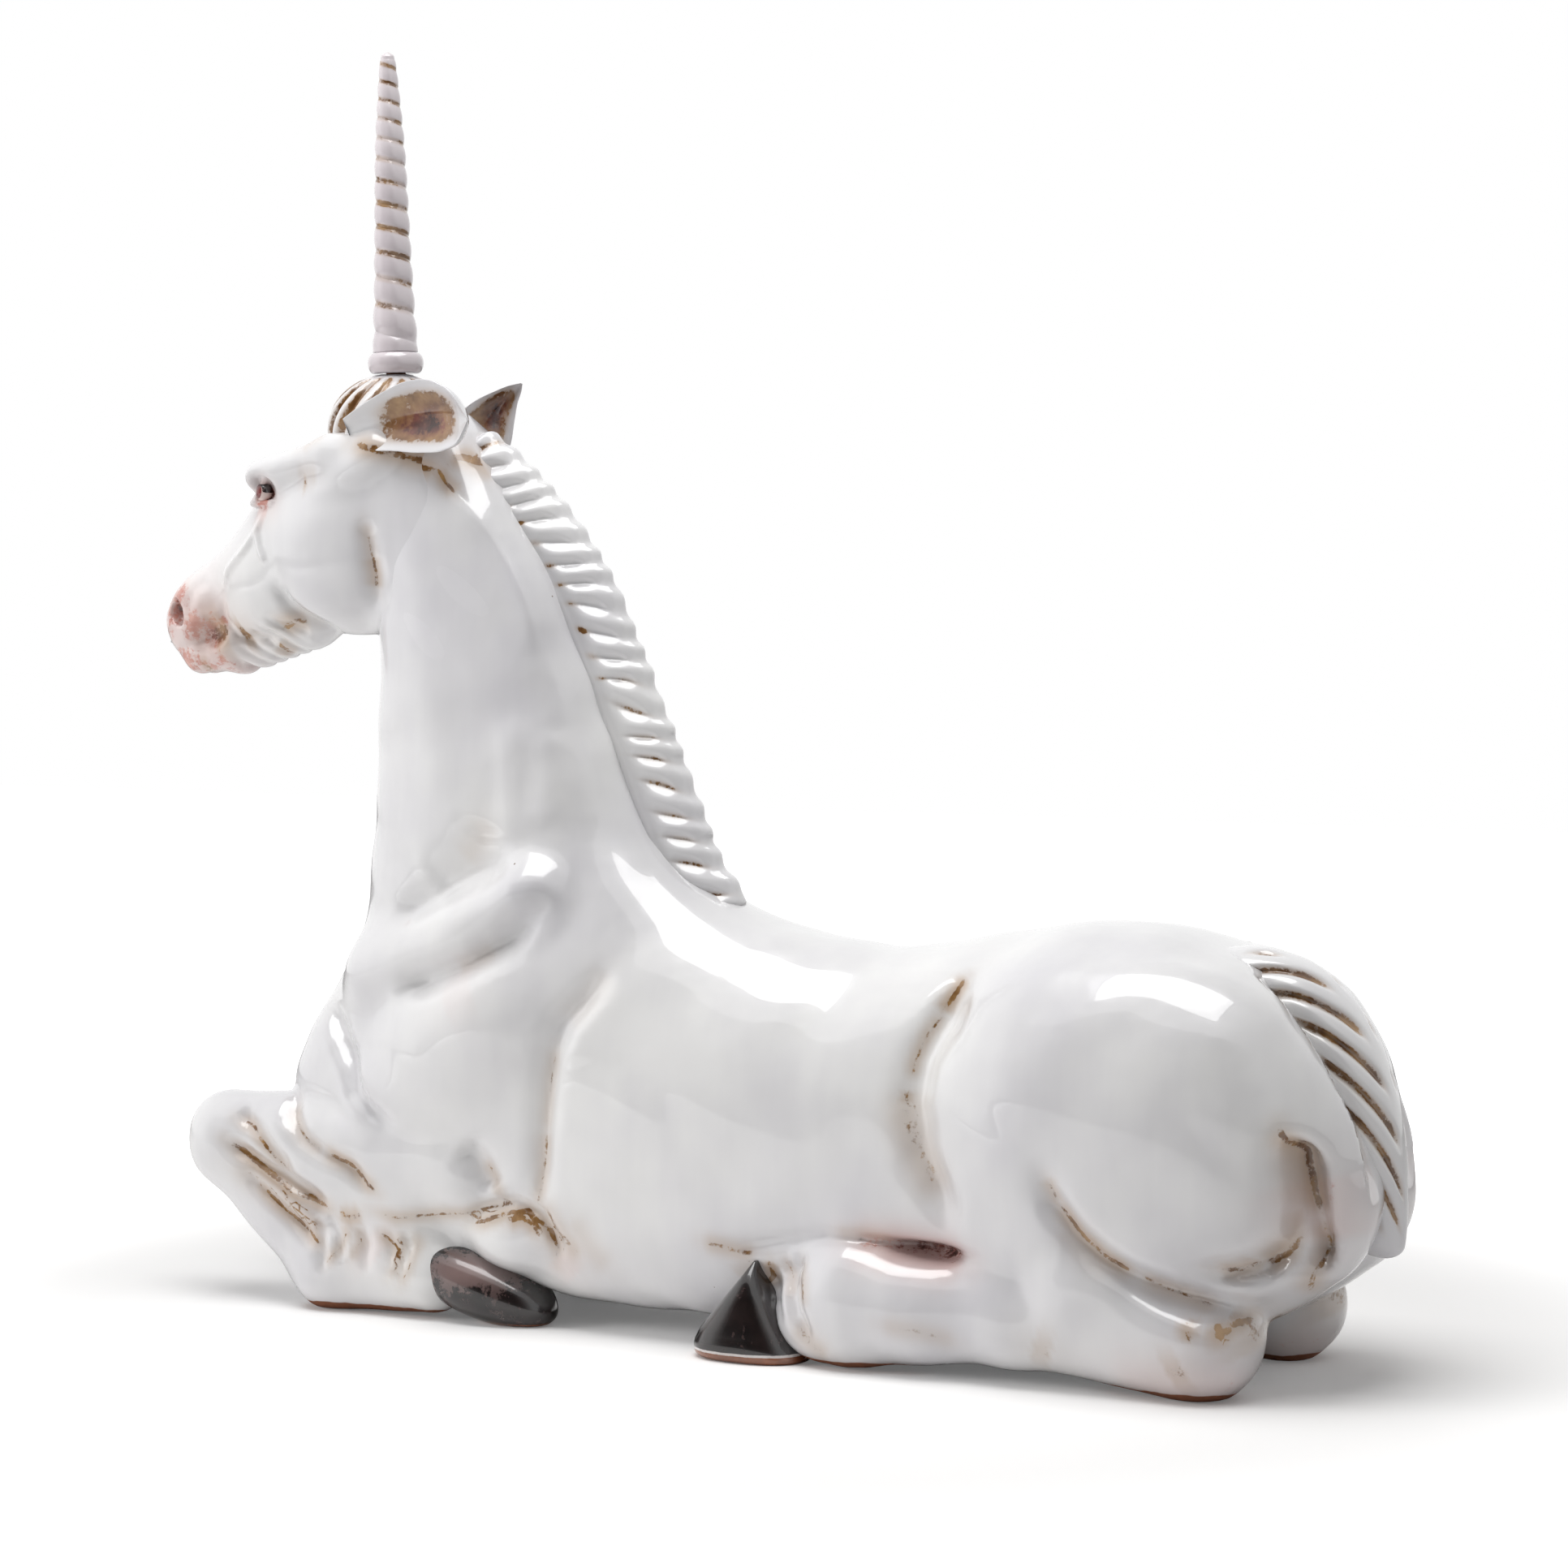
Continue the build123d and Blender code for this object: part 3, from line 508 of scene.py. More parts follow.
# stroke on the side view, how far from the middle plane it starts, amount, half width
body_ochre = [
    ([(-117, 254), (-120, 243), (-132, 230)], 34, 0.24, 3.0),
    ([(-128, 177), (-106, 188)], 40, 0.30, 1.2),
    ([(-42, 182), (-51, 167), (-64, 153)], 44, 0.16, 3.0),
    ([(-68, 145), (-72, 127), (-74, 110), (-75, 96)], 50, 0.46, 0.7),
    ([(-74, 104), (-76, 88), (-77, 72), (-80, 60)], 50, 0.55, 1.0),
    ([(-111, 85), (-105, 75), (-99, 64)], 44, 0.55, 1.0),
    ([(-104, 66), (-90, 60), (-80, 60)], 46, 0.5, 0.8),
    ([(-231, 105), (-227, 96), (-219, 87), (-205, 80)], 22, 0.5, 0.8),
    ([(-208, 82), (-190, 76), (-180, 68), (-172, 62)], 24, 0.85, 1.1),
    ([(-264, 95), (-252, 91), (-240, 80), (-227, 68)], 46, 0.66, 0.8),
    ([(-268, 84), (-256, 77), (-242, 69), (-226, 60), (-210, 55), (-197, 51)], 48, 0.95, 1.2),
    ([(-264, 76), (-248, 66), (-232, 58), (-216, 50), (-204, 46)], 48, 0.42, 3.4),
    ([(-252, 66), (-236, 54), (-222, 45), (-210, 37), (-202, 32)], 48, 0.85, 0.9),
    ([(-236, 62), (-226, 53), (-214, 46), (-204, 41)], 48, 0.6, 0.6),
    ([(-197, 52), (-190, 49), (-182, 52)], 50, 0.8, 1.3),
    ([(-196, 46), (-191, 41), (-195, 33), (-203, 24)], 50, 0.55, 0.7),
    ([(-186, 46), (-182, 38), (-188, 28)], 50, 0.5, 0.6),
    ([(-172, 44), (-166, 40), (-160, 35), (-163, 27)], 50, 0.62, 0.8),
    ([(-163, 45), (-158, 37), (-160, 27), (-166, 20)], 50, 0.5, 0.6),
    ([(-155, 45), (-150, 38), (-153, 26), (-159, 16)], 50, 0.5, 0.6),
    ([(-181, 55), (-162, 51), (-139, 54), (-121, 56), (-104, 61), (-83, 64)], 48, 0.62, 0.8),
    ([(-124, 50), (-111, 53), (-98, 58), (-85, 60), (-74, 53), (-69, 43), (-71, 34)], 46, 0.85, 1.1),
    ([(-98, 53), (-89, 57), (-81, 54), (-77, 47)], 54, 0.9, 1.3),
    ([(-78, 66), (-69, 54), (-61, 45), (-53, 38)], 50, 0.5, 2.6),
    ([(-60, 60), (-50, 46), (-38, 34)], 50, 0.3, 3.0),
    ([(146, 186), (141, 177), (136, 168)], 46, 1.0, 1.1),
    ([(138, 170), (131, 158), (127, 147), (126, 136)], 46, 0.62, 0.8),
    ([(126, 136), (126, 120), (132, 106), (140, 92), (146, 82)], 48, 0.46, 3.6),
    ([(124, 132), (125, 126)], 48, 0.7, 1.0),
    ([(206, 101), (211, 88)], 60, 0.6, 0.8),
    ([(209, 92), (221, 75), (231, 66), (247, 57)], 60, 0.85, 1.0),
    ([(214, 82), (224, 70), (238, 60)], 60, 0.4, 2.4),
    ([(245, 58), (259, 52), (271, 48), (284, 43)], 60, 0.6, 0.8),
    ([(317, 110), (319, 99), (318, 88)], 50, 0.62, 0.8),
    ([(318, 92), (315, 77), (307, 68), (298, 63)], 50, 0.85, 1.6),
    ([(300, 66), (292, 62), (282, 62)], 54, 0.7, 1.2),
    ([(311, 130), (314, 114), (317, 98), (320, 84)], 24, 0.95, 1.3),
    ([(320, 86), (322, 72), (318, 58), (312, 46)], 24, 0.6, 1.1),
    ([(283, 40), (286, 33), (290, 38), (297, 38)], 50, 0.9, 1.6),
    ([(271, 40), (275, 31)], 60, 0.8, 1.1),
    ([(196, 22), (206, 18)], 60, 0.42, 4.0),
    ([(262, 14), (272, 18)], 60, 0.5, 4.0),
    ([(296, 38), (302, 26)], 30, 0.55, 5.0),
    ([(53, 48), (54, 40), (51, 36)], 60, 0.95, 1.1),
    ([(60, 50), (67, 42), (71, 32)], 62, 0.45, 0.8),
    ([(73, 51), (78, 42), (80, 29)], 62, 0.45, 0.9),
    ([(74, 22), (84, 12), (92, 6)], 60, 0.5, 2.2),
    ([(47, 51), (38, 50), (29, 52), (16, 54)], 50, 0.6, 1.3),
    ([(46, 47), (40, 42), (36, 36)], 50, 0.4, 2.4),
    ([(89, 64), (104, 65), (121, 63)], 46, 0.4, 0.6),
    ([(120, 26), (140, 24), (160, 20)], 60, 0.34, 1.4),
    ([(-206, 441), (-200, 440), (-188, 437), (-176, 431), (-164, 427), (-154, 427)], 18, 0.95, 1.5),
    ([(-178, 432), (-170, 427), (-161, 424)], 22, 0.7, 0.8),
    ([(-158, 428), (-153, 421), (-145, 414)], 20, 0.85, 0.9),
    ([(-154, 434), (-145, 432), (-138, 429), (-131, 424)], 16, 0.95, 1.7),
    ([(-146, 437), (-133, 439), (-124, 439)], 6, 0.85, 3.2),
]
body_rose = [
    # painted shade: this first stroke is a rose edge round the dark hollow of the slot over the hind cannon
    ([(96, 62), (127, 60), (141, 58), (162, 57)], 46, 0.55, 3.6),
    ([(321, 106), (325, 86), (327, 72)], 24, 0.36, 7.0),
    ([(-180, 40), (-170, 30)], 50, 0.22, 6.0),
    ([(230, 6), (270, 5), (300, 12)], 30, 0.3, 7.0),
    ([(-130, 160), (-112, 172)], 40, 0.12, 6.0),
    ([(-70, 40), (-60, 28)], 50, 0.28, 4.0),
]
# painted shade: umber laid dark in the slot between the belly and the hind cannon, where that hollow is in
# shadow
slot_shade_umber = [
    ([(112, 60), (130, 59), (146, 57), (160, 56)], 46, 0.5, 3.6),
]
body_corners, body_quads = skin(
    body_form, low=(-310.0, 0.0, -8.0), high=(350.0, 97.0, 452.0), step=body_step)
body = add_piece("body_casting", body_corners, body_quads, {
    **painted("ochre", body_corners, body_ochre),
    **painted("rose", body_corners, body_rose),
    **painted("umber", body_corners, slot_shade_umber),
})
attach(body, "figure")
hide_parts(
    "torso", "neck", "haunch_left", "haunch_right", "hind_leg_left", "hind_leg_right",
    "foreleg_left", "foreleg_right",
)


# Clouded glaze: where tin glaze runs thick or thin it goes from warm white to a cool lilac grey,
# with upright brush drags, and its face is never quite flat.
def new_group(name, inputs, outputs):
    """An empty shader group with its sockets. A row is a name, a socket kind and, for inputs, a
    first value."""
    group = bpy.data.node_groups.new(name, "ShaderNodeTree")
    for label, kind, first in inputs:
        socket = group.interface.new_socket(label, in_out="INPUT", socket_type=kind)
        if first is not None:
            socket.default_value = first
    for label, kind in outputs:
        group.interface.new_socket(label, in_out="OUTPUT", socket_type=kind)
    entry = group.nodes.new("NodeGroupInput")
    leave = group.nodes.new("NodeGroupOutput")
    return group, entry, leave


drag_share = 0.14
clouded, clouded_in, clouded_out = new_group(
    "clouded_glaze",
    [("Vector", "NodeSocketVector", None), ("White", "NodeSocketColor", (0.82, 0.815, 0.81, 1.0)),
     ("Grey", "NodeSocketColor", (0.70, 0.69, 0.715, 1.0))],
    [("Color", "NodeSocketColor"), ("Height", "NodeSocketFloat")],
)
cloud = place_node(clouded, "ShaderNodeTexNoise", values={"Scale": 9.0, "Detail": 3.0, "Roughness": 0.55})
drag_place = place_node(clouded, "ShaderNodeMapping", values={"Scale": (1.0, 1.0, 0.16)})
drag = place_node(clouded, "ShaderNodeTexNoise", values={"Scale": 95.0, "Detail": 2.0, "Roughness": 0.5})
cloud_sum = place_node(clouded, "ShaderNodeMath", {"operation": "MULTIPLY_ADD"}, {1: drag_share})
cloud_tone = place_node(clouded, "ShaderNodeMapRange", values={"From Min": 0.42, "From Max": 0.76})
cloud_mix = place_node(clouded, "ShaderNodeMix", {"data_type": "RGBA"})
ripple = place_node(clouded, "ShaderNodeTexNoise", values={"Scale": 38.0, "Detail": 2.0, "Roughness": 0.45})
wire(
    clouded,
    (clouded_in, "Vector", cloud, "Vector"), (clouded_in, "Vector", drag_place, "Vector"),
    (clouded_in, "Vector", ripple, "Vector"), (drag_place, "Vector", drag, "Vector"),
    (drag, "Fac", cloud_sum, 0), (cloud, "Fac", cloud_sum, 2), (cloud_sum, "Value", cloud_tone, "Value"),
    (cloud_tone, "Result", cloud_mix, "Factor"), (clouded_in, "White", cloud_mix, 6),
    (clouded_in, "Grey", cloud_mix, 7), (cloud_mix, 2, clouded_out, "Color"),
    (ripple, "Fac", clouded_out, "Height"),
)

# Wiped colour: pigment brushed over the glaze and wiped back, so that it stays whole in the
# hollows, breaks up into dry strokes at the edges and leaves a thin wash around them.
edge_contrast = 2.2
edge_drop = -1.2
stroke_wander = 1.6
wash_limit = 0.8
wiped, wiped_in, wiped_out = new_group(
    "wiped_colour",
    [("Vector", "NodeSocketVector", None), ("Under", "NodeSocketColor", (0.8, 0.8, 0.8, 1.0)),
     ("Amount", "NodeSocketFloat", 0.0), ("Across", "NodeSocketFloat", 0.0),
     ("Light", "NodeSocketColor", (0.40, 0.24, 0.10, 1.0)),
     ("Dark", "NodeSocketColor", (0.20, 0.11, 0.045, 1.0)), ("Wash", "NodeSocketFloat", 0.35)],
    [("Color", "NodeSocketColor")],
)
grit = place_node(wiped, "ShaderNodeTexNoise", values={"Scale": 420.0, "Detail": 3.0, "Roughness": 0.65})
stroke_place = place_node(wiped, "ShaderNodeMapping", values={"Scale": (1.0, 1.0, 0.45)})
stroke = place_node(wiped, "ShaderNodeTexNoise", values={"Scale": 130.0, "Detail": 2.0, "Roughness": 0.6})
shade = place_node(wiped, "ShaderNodeTexNoise", values={"Scale": 75.0, "Detail": 3.0, "Roughness": 0.6})
rough_edge = place_node(wiped, "ShaderNodeMath", {"operation": "ADD"})
edge_size = place_node(wiped, "ShaderNodeMath", {"operation": "MULTIPLY_ADD"}, {
    1: edge_contrast, 2: edge_drop})
edge_sum = place_node(wiped, "ShaderNodeMath", {"operation": "MULTIPLY"})
wander = place_node(wiped, "ShaderNodeMath", {"operation": "MULTIPLY_ADD"}, {
    1: stroke_wander, 2: -0.5 * stroke_wander})
off_line = place_node(wiped, "ShaderNodeMath", {"operation": "ADD"})
off_size = place_node(wiped, "ShaderNodeMath", {"operation": "ABSOLUTE"})
on_line = place_node(wiped, "ShaderNodeMapRange", {"interpolation_type": "SMOOTHSTEP"}, {
    "From Min": 0.35, "From Max": 1.95, "To Min": 1.0, "To Max": 0.0})
line_sum = place_node(wiped, "ShaderNodeMath", {"operation": "MULTIPLY"})
whole = place_node(wiped, "ShaderNodeMapRange", {"interpolation_type": "SMOOTHSTEP"}, {
    "From Min": 0.24, "From Max": 0.80})
thin = place_node(wiped, "ShaderNodeMath", {"operation": "MULTIPLY"})
thin_cap = place_node(wiped, "ShaderNodeMath", {"operation": "MINIMUM"}, {1: wash_limit})
either = place_node(wiped, "ShaderNodeMath", {"operation": "MAXIMUM"})
pigment = place_node(wiped, "ShaderNodeMix", {"data_type": "RGBA"})
pigment_tone = place_node(wiped, "ShaderNodeMapRange", values={"From Min": 0.30, "From Max": 0.62})
pigment_core = place_node(wiped, "ShaderNodeMath", {"operation": "MULTIPLY"})
laid = place_node(wiped, "ShaderNodeMix", {"data_type": "RGBA"})
wire(
    wiped,
    (wiped_in, "Vector", grit, "Vector"), (wiped_in, "Vector", stroke_place, "Vector"),
    (stroke_place, "Vector", stroke, "Vector"), (wiped_in, "Vector", shade, "Vector"),
    (grit, "Fac", rough_edge, 0), (stroke, "Fac", rough_edge, 1), (rough_edge, "Value", edge_size, 0),
    (edge_size, "Value", edge_sum, 0), (wiped_in, "Amount", edge_sum, 1), (stroke, "Fac", wander, 0),
    (wander, "Value", off_line, 0), (wiped_in, "Across", off_line, 1), (off_line, "Value", off_size, 0),
    (off_size, "Value", on_line, "Value"), (on_line, "Result", line_sum, 0),
    (edge_sum, "Value", line_sum, 1), (line_sum, "Value", whole, "Value"), (wiped_in, "Amount", thin, 0),
    (wiped_in, "Wash", thin, 1), (thin, "Value", thin_cap, 0), (thin_cap, "Value", either, 0),
    (whole, "Result", either, 1), (shade, "Fac", pigment_tone, "Value"),
    (pigment_tone, "Result", pigment_core, 0), (whole, "Result", pigment_core, 1),
    (pigment_core, "Value", pigment, "Factor"), (wiped_in, "Light", pigment, 6),
    (wiped_in, "Dark", pigment, 7), (either, "Value", laid, "Factor"), (wiped_in, "Under", laid, 6),
    (pigment, 2, laid, 7), (laid, 2, wiped_out, "Color"),
)

# Pinholes: the few small dark pits that gas leaves in a tin glaze.
pitted, pitted_in, pitted_out = new_group(
    "glaze_pinholes",
    [("Vector", "NodeSocketVector", None), ("Under", "NodeSocketColor", (0.8, 0.8, 0.8, 1.0)),
     ("Scale", "NodeSocketFloat", 42.0), ("Pit", "NodeSocketColor", (0.16, 0.09, 0.05, 1.0))],
    [("Color", "NodeSocketColor")],
)
pit_cells = place_node(pitted, "ShaderNodeTexVoronoi", values={"Randomness": 1.0})
pit_part = place_node(pitted, "ShaderNodeSeparateColor")
pit_size = place_node(pitted, "ShaderNodeMapRange", values={
    "From Min": 0.62, "From Max": 1.0, "To Min": 0.0, "To Max": 0.034})
pit_near = place_node(pitted, "ShaderNodeMath", {"operation": "SUBTRACT"})
pit_mask = place_node(pitted, "ShaderNodeMapRange", values={
    "From Min": 0.0, "From Max": 0.008, "To Min": 0.0, "To Max": 0.85})
pit_mix = place_node(pitted, "ShaderNodeMix", {"data_type": "RGBA"})
wire(
    pitted,
    (pitted_in, "Vector", pit_cells, "Vector"), (pitted_in, "Scale", pit_cells, "Scale"),
    (pit_cells, "Color", pit_part, "Color"), (pit_part, "Red", pit_size, "Value"),
    (pit_size, "Result", pit_near, 0), (pit_cells, "Distance", pit_near, 1),
    (pit_near, "Value", pit_mask, "Value"), (pit_mask, "Result", pit_mix, "Factor"),
    (pitted_in, "Under", pit_mix, 6), (pitted_in, "Pit", pit_mix, 7), (pit_mix, 2, pitted_out, "Color"),
)


# White tin glaze: the clouded glaze with rose, ochre and umber brushed over it in that order, pitted
# and glossy all over; on the body, the umber and part of the rose are painted shade in the slot over the
# hind cannon. On the body it ends in a wavy line above the floor, over bare red clay.
def use_group(tree, group, values=None):
    """One use of a shared group in a material's node tree, with its own values."""
    return place_node(tree, "ShaderNodeGroup", {"node_tree": group}, values)


glaze_roughness = 0.22
clay_roughness = 0.75
rim_waviness = 0.004
rim_glazed = 0.0025
rim_bare = 0.0018
clay_light = (0.30, 0.105, 0.045, 1.0)
clay_dark = (0.16, 0.06, 0.03, 1.0)
# paint, its thin tone, its thick tone, strength of the wash around it
glaze_washes = [
    ("rose", (0.78, 0.46, 0.39, 1.0), (0.52, 0.19, 0.15, 1.0), 0.75),
    ("ochre", (0.42, 0.245, 0.10, 1.0), (0.15, 0.065, 0.02, 1.0), 0.72),
    ("umber", (0.28, 0.09, 0.065, 1.0), (0.05, 0.018, 0.014, 1.0), 0.75),
]


def glazed_white(name, white, grey, clay_rim):
    """White tin glaze over painted and wiped colours, read from the paints on the mesh. The clay
    rim is the height in metres under which the glaze is wiped off; nought leaves it out."""
    material, tree, output = new_material(name)
    place = place_node(tree, "ShaderNodeTexCoord")
    ground = use_group(tree, clouded, {"White": white, "Grey": grey})
    wire(tree, (place, "Object", ground, "Vector"))
    below = ground
    for paint, light, dark, wash in glaze_washes:
        amount = place_node(tree, "ShaderNodeAttribute", {"attribute_name": paint})
        across = place_node(tree, "ShaderNodeAttribute", {"attribute_name": paint + "_across"})
        coat = use_group(tree, wiped, {"Light": light, "Dark": dark, "Wash": wash})
        wire(
            tree,
            (place, "Object", coat, "Vector"), (below, "Color", coat, "Under"),
            (amount, "Fac", coat, "Amount"), (across, "Fac", coat, "Across"),
        )
        below = coat
    pits = use_group(tree, pitted)
    gloss = place_node(tree, "ShaderNodeBsdfPrincipled", values={
        "Roughness": glaze_roughness, "IOR": 1.5,
        "Coat Weight": 1.0, "Coat Roughness": 0.035, "Coat IOR": 1.5,
    })
    bump = place_node(tree, "ShaderNodeBump", values={"Strength": 0.26, "Distance": 0.004})
    wire(
        tree,
        (place, "Object", pits, "Vector"), (below, "Color", pits, "Under"),
        (ground, "Height", bump, "Height"), (bump, "Normal", gloss, "Normal"),
        (gloss, "BSDF", output, "Surface"),
    )
    if clay_rim <= 0.0:
        wire(tree, (pits, "Color", gloss, "Base Color"))
        return material
    parts = place_node(tree, "ShaderNodeSeparateXYZ")
    wavy = place_node(tree, "ShaderNodeTexNoise", values={"Scale": 60.0, "Detail": 2.0})
    edge = place_node(tree, "ShaderNodeMath", {"operation": "MULTIPLY_ADD"}, {1: rim_waviness})
    bare = place_node(tree, "ShaderNodeMapRange", values={
        "From Min": clay_rim + rim_glazed, "From Max": clay_rim + rim_bare})
    grain = place_node(tree, "ShaderNodeTexNoise", values={"Scale": 300.0, "Detail": 4.0, "Roughness": 0.7})
    clay = place_node(tree, "ShaderNodeMix", {"data_type": "RGBA"}, {6: clay_light, 7: clay_dark})
    mixed = place_node(tree, "ShaderNodeMix", {"data_type": "RGBA"})
    dull = place_node(tree, "ShaderNodeMapRange", values={
        "To Min": glaze_roughness, "To Max": clay_roughness})
    glassy = place_node(tree, "ShaderNodeMath", {"operation": "SUBTRACT"}, {0: 1.0})
    wire(
        tree,
        (place, "Object", parts, "Vector"), (place, "Object", wavy, "Vector"),
        (place, "Object", grain, "Vector"), (wavy, "Fac", edge, 0), (parts, "Z", edge, 2),
        (edge, "Value", bare, "Value"), (grain, "Fac", clay, "Factor"),
        (bare, "Result", mixed, "Factor"), (pits, "Color", mixed, 6), (clay, 2, mixed, 7),
        (mixed, 2, gloss, "Base Color"), (bare, "Result", dull, "Value"),
        (dull, "Result", gloss, "Roughness"), (bare, "Result", glassy, 1),
        (glassy, "Value", gloss, "Coat Weight"),
    )
    return material


body_glaze_white = (0.82, 0.815, 0.81, 1.0)
body_glaze_grey = (0.68, 0.67, 0.695, 1.0)
body_clay_rim = 0.0044
body_glaze = glazed_white("body_glaze", body_glaze_white, body_glaze_grey, body_clay_rim)
body.data.materials.append(body_glaze)


# Head: cast with the body and worked up by hand: a big round cheek, an overhanging brow, a forked
# vein under the eye, a pink muzzle with its mouth a little open, and a short combed beard.
head_step = 1.35
head_rear = np.array([-165.0, 405.0])
head_fall = np.radians(23.0)
head_along = [-6, 0, 25, 50, 75, 95, 120, 143, 161, 175, 182, 187]
head_centre = [4, 5, 10, 12, 15, 16, 12.5, 9, 9.5, 8.5, 8.5, 9]
head_deep = [30, 34, 50, 55, 51, 43, 33.5, 29.5, 26, 20, 15, 6]
head_wide = [28, 30, 36, 38, 36, 32, 26, 22, 21, 19, 15, 6]


def on_head(x, z):
    """A point of the side view as its place along the face from the poll, and its height over that
    line."""
    run_x = x - head_rear[0]
    run_z = z - head_rear[1]
    along = -run_x * np.cos(head_fall) - run_z * np.sin(head_fall)
    return along, -run_x * np.sin(head_fall) + run_z * np.cos(head_fall)


head_lines = [
    ([(-264, 408), (-269, 397), (-277, 387), (-289, 376), (-294, 364)], 16, -1.7, 1.5),
    ([(-269, 397), (-266, 388), (-261, 379)], 16, -1.5, 1.3),
    ([(-257, 371), (-250, 358), (-240, 350), (-228, 344)], 12, 3.2, 3.0),
    ([(-198, 404), (-194, 388), (-192, 368), (-194, 352)], 18, 2.6, 4.0),
    ([(-294, 364), (-296, 352), (-290, 342), (-276, 340), (-262, 343)], 12, 2.0, 2.2),
    ([(-268, 350), (-258, 348), (-246, 344)], 12, 1.8, 2.0),
    ([(-306, 372), (-314, 366), (-318, 352)], 10, 1.2, 3.0),
]
head_shapes = {
    "cheek": (rounded_union, mass, ((62, 22, 6), (34, 20, 35), 2.3), 5.0),
    "side of the nose": (rounded_union, mass, ((108, 12, 10), (26, 19, 27), 2.2), 8.0),
    "front of the brow": (rounded_union, limb, ((86, 26, 57), (42, 27, 50), (9, 10), (9, 9)), 7.0),
    "back of the brow": (rounded_union, limb, ((42, 27, 50), (14, 28, 44), (9, 9), (9, 9)), 9.0),
    "jaw": (rounded_union, limb, ((150, 0, -14), (104, 0, -18), (13, 12), (13, 13)), 7.0),
    "lips": (rounded_union, limb, ((173, 5, -8), (150, 6, -10), (11, 8.5), (14, 12)), 5.0),
    "nostril wing": (rounded_union, mass, ((158, 14, 16), (14, 10, 12)), 8.0),
    "eye socket": (rounded_cut, mass, ((89, 34, 50), (10, 9, 8.5)), 4.0),
    "nostril": (rounded_cut, mass, ((169, 21, 16), (5.5, 8, 7)), 2.5),
    "mouth": (rounded_cut, limb, ((194, 18, 0), (160, 26, -3), (9, 0.9), (9, 1.2)), 3.0),
    "corner of the mouth": (rounded_cut, mass, ((154, 24, -3), (12, 9, 8)), 4.0),
    "pit behind the mouth": (rounded_cut, mass, ((137, 26, -9), (4.5, 6, 4)), 2.5),
    "notch under the chin": (rounded_cut, mass, ((147, 0, -37), (3.4, 30, 16)), 3.0),
    "root of the ear": (rounded_union, mass, ((18, 27, 36), (22, 12, 8)), 12.0),
}
lid_shapes = {
    "upper lid": (rounded_union, limb, ((96, 27, 47), (80, 29, 57), (2.2, 1.8), (2.2, 1.8)), 2.0),
    "lower lid": (rounded_union, limb, ((96, 27, 47), (84, 29.5, 42), (2.0, 1.6), (2.0, 1.6)), 2.0),
}
skull_power = 2.2
beard_spacing = 7.5
beard_lean = 0.55
beard_depth = 1.2
throat_inset = 0.4
throat_low = 330.0
throat_high = 440.0
throat_fillet = 9.0
head_cut_off = -30.0


def beard_comb(along, above, y):
    """The ribs of the beard: rounded bumps evenly spaced along the jaw, leaning forwards as they
    fall."""
    wave = np.abs(np.sin(np.pi * (along - beard_lean * above) / beard_spacing))
    window = ease(along, 100.0, 116.0) * ease(146.0 - along, 0.0, 10.0) * ease(-7.0 - above, 0.0, 10.0)
    return beard_depth * (1.0 - wave) * window


def head_form(x, y, z):
    """The head casting: a tapering skull with cheek, brow, lips, chin and beard, the eye socket,
    nostril and mouth sunk in, and a thin copy of the neck run into it so that the two meet without
    a step."""
    y = np.abs(y)
    along, above = on_head(x, z)
    deep = smooth_between(along, head_along, head_deep)
    wide = smooth_between(along, head_along, head_wide)
    rise = above - smooth_between(along, head_along, head_centre)
    skull = (np.abs(y / wide) ** skull_power + np.abs(rise / deep) ** skull_power) ** (1.0 / skull_power)
    form = (skull - 1.0) * np.minimum(deep, wide)
    form = form + np.abs(along - np.clip(along, head_along[0], head_along[-1]))
    form = build_up(form, along, y, above, head_shapes)
    form = form + beard_comb(along, above, y)
    form = form + tooled(x, y, z, head_lines)
    form = build_up(form, along, y, above, lid_shapes)
    stem = neck_stem(x, y, z) + throat_inset + np.abs(z - np.clip(z, throat_low, throat_high))
    form = rounded_union(form, stem, throat_fillet)
    return np.maximum(form, head_cut_off - along)


head_corners, head_quads = skin(
    head_form, low=(-350.0, 0.0, 296.0), high=(-122.0, 52.0, 462.0), step=head_step)
head_ochre = [
    ([(-198, 402), (-195, 388), (-193, 372)], 26, 0.45, 0.8),
    ([(-194, 384), (-193, 374), (-194, 366)], 26, 0.8, 1.0),
    ([(-206, 441), (-193, 438), (-181, 435), (-166, 431), (-150, 433)], 18, 0.9, 1.8),
    ([(-240, 441), (-232, 446), (-226, 450)], 8, 0.7, 1.6),
    ([(-283, 344), (-288, 342)], 14, 1.0, 3.0),
    ([(-262, 345), (-252, 350), (-244, 350)], 12, 0.8, 1.4),
    ([(-268, 338), (-262, 331)], 8, 0.7, 1.8),
    ([(-225, 424), (-240, 425)], 20, 0.3, 2.0),
    ([(-295, 345), (-306, 341)], 10, 0.95, 4.6),
    ([(-316, 325), (-310, 324)], 4, 0.6, 2.5),
    ([(-236, 421), (-233, 421)], 20, 0.8, 1.3),
]
head_rose = [
    ([(-345, 340), (-332, 356), (-314, 366)], 0, 0.66, 12.0),
    ([(-338, 332), (-318, 326), (-302, 326), (-290, 332)], 0, 0.62, 7.0),
    ([(-326, 348), (-308, 345), (-294, 341)], 0, 0.70, 9.0),
    ([(-270, 412), (-260, 409)], 12, 0.8, 3.5),
]
head_umber = [
    ([(-326, 355), (-330, 360)], 12, 0.62, 3.2),
    ([(-302, 344), (-311, 341)], 12, 0.55, 3.4),
    ([(-271, 417.5), (-263, 418.5), (-257, 413)], 18, 0.85, 1.3),
]
head = add_piece("head_casting", head_corners, head_quads, {
    **painted("ochre", head_corners, head_ochre),
    **painted("rose", head_corners, head_rose),
    **painted("umber", head_corners, head_umber),
})
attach(head, "figure")
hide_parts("head")
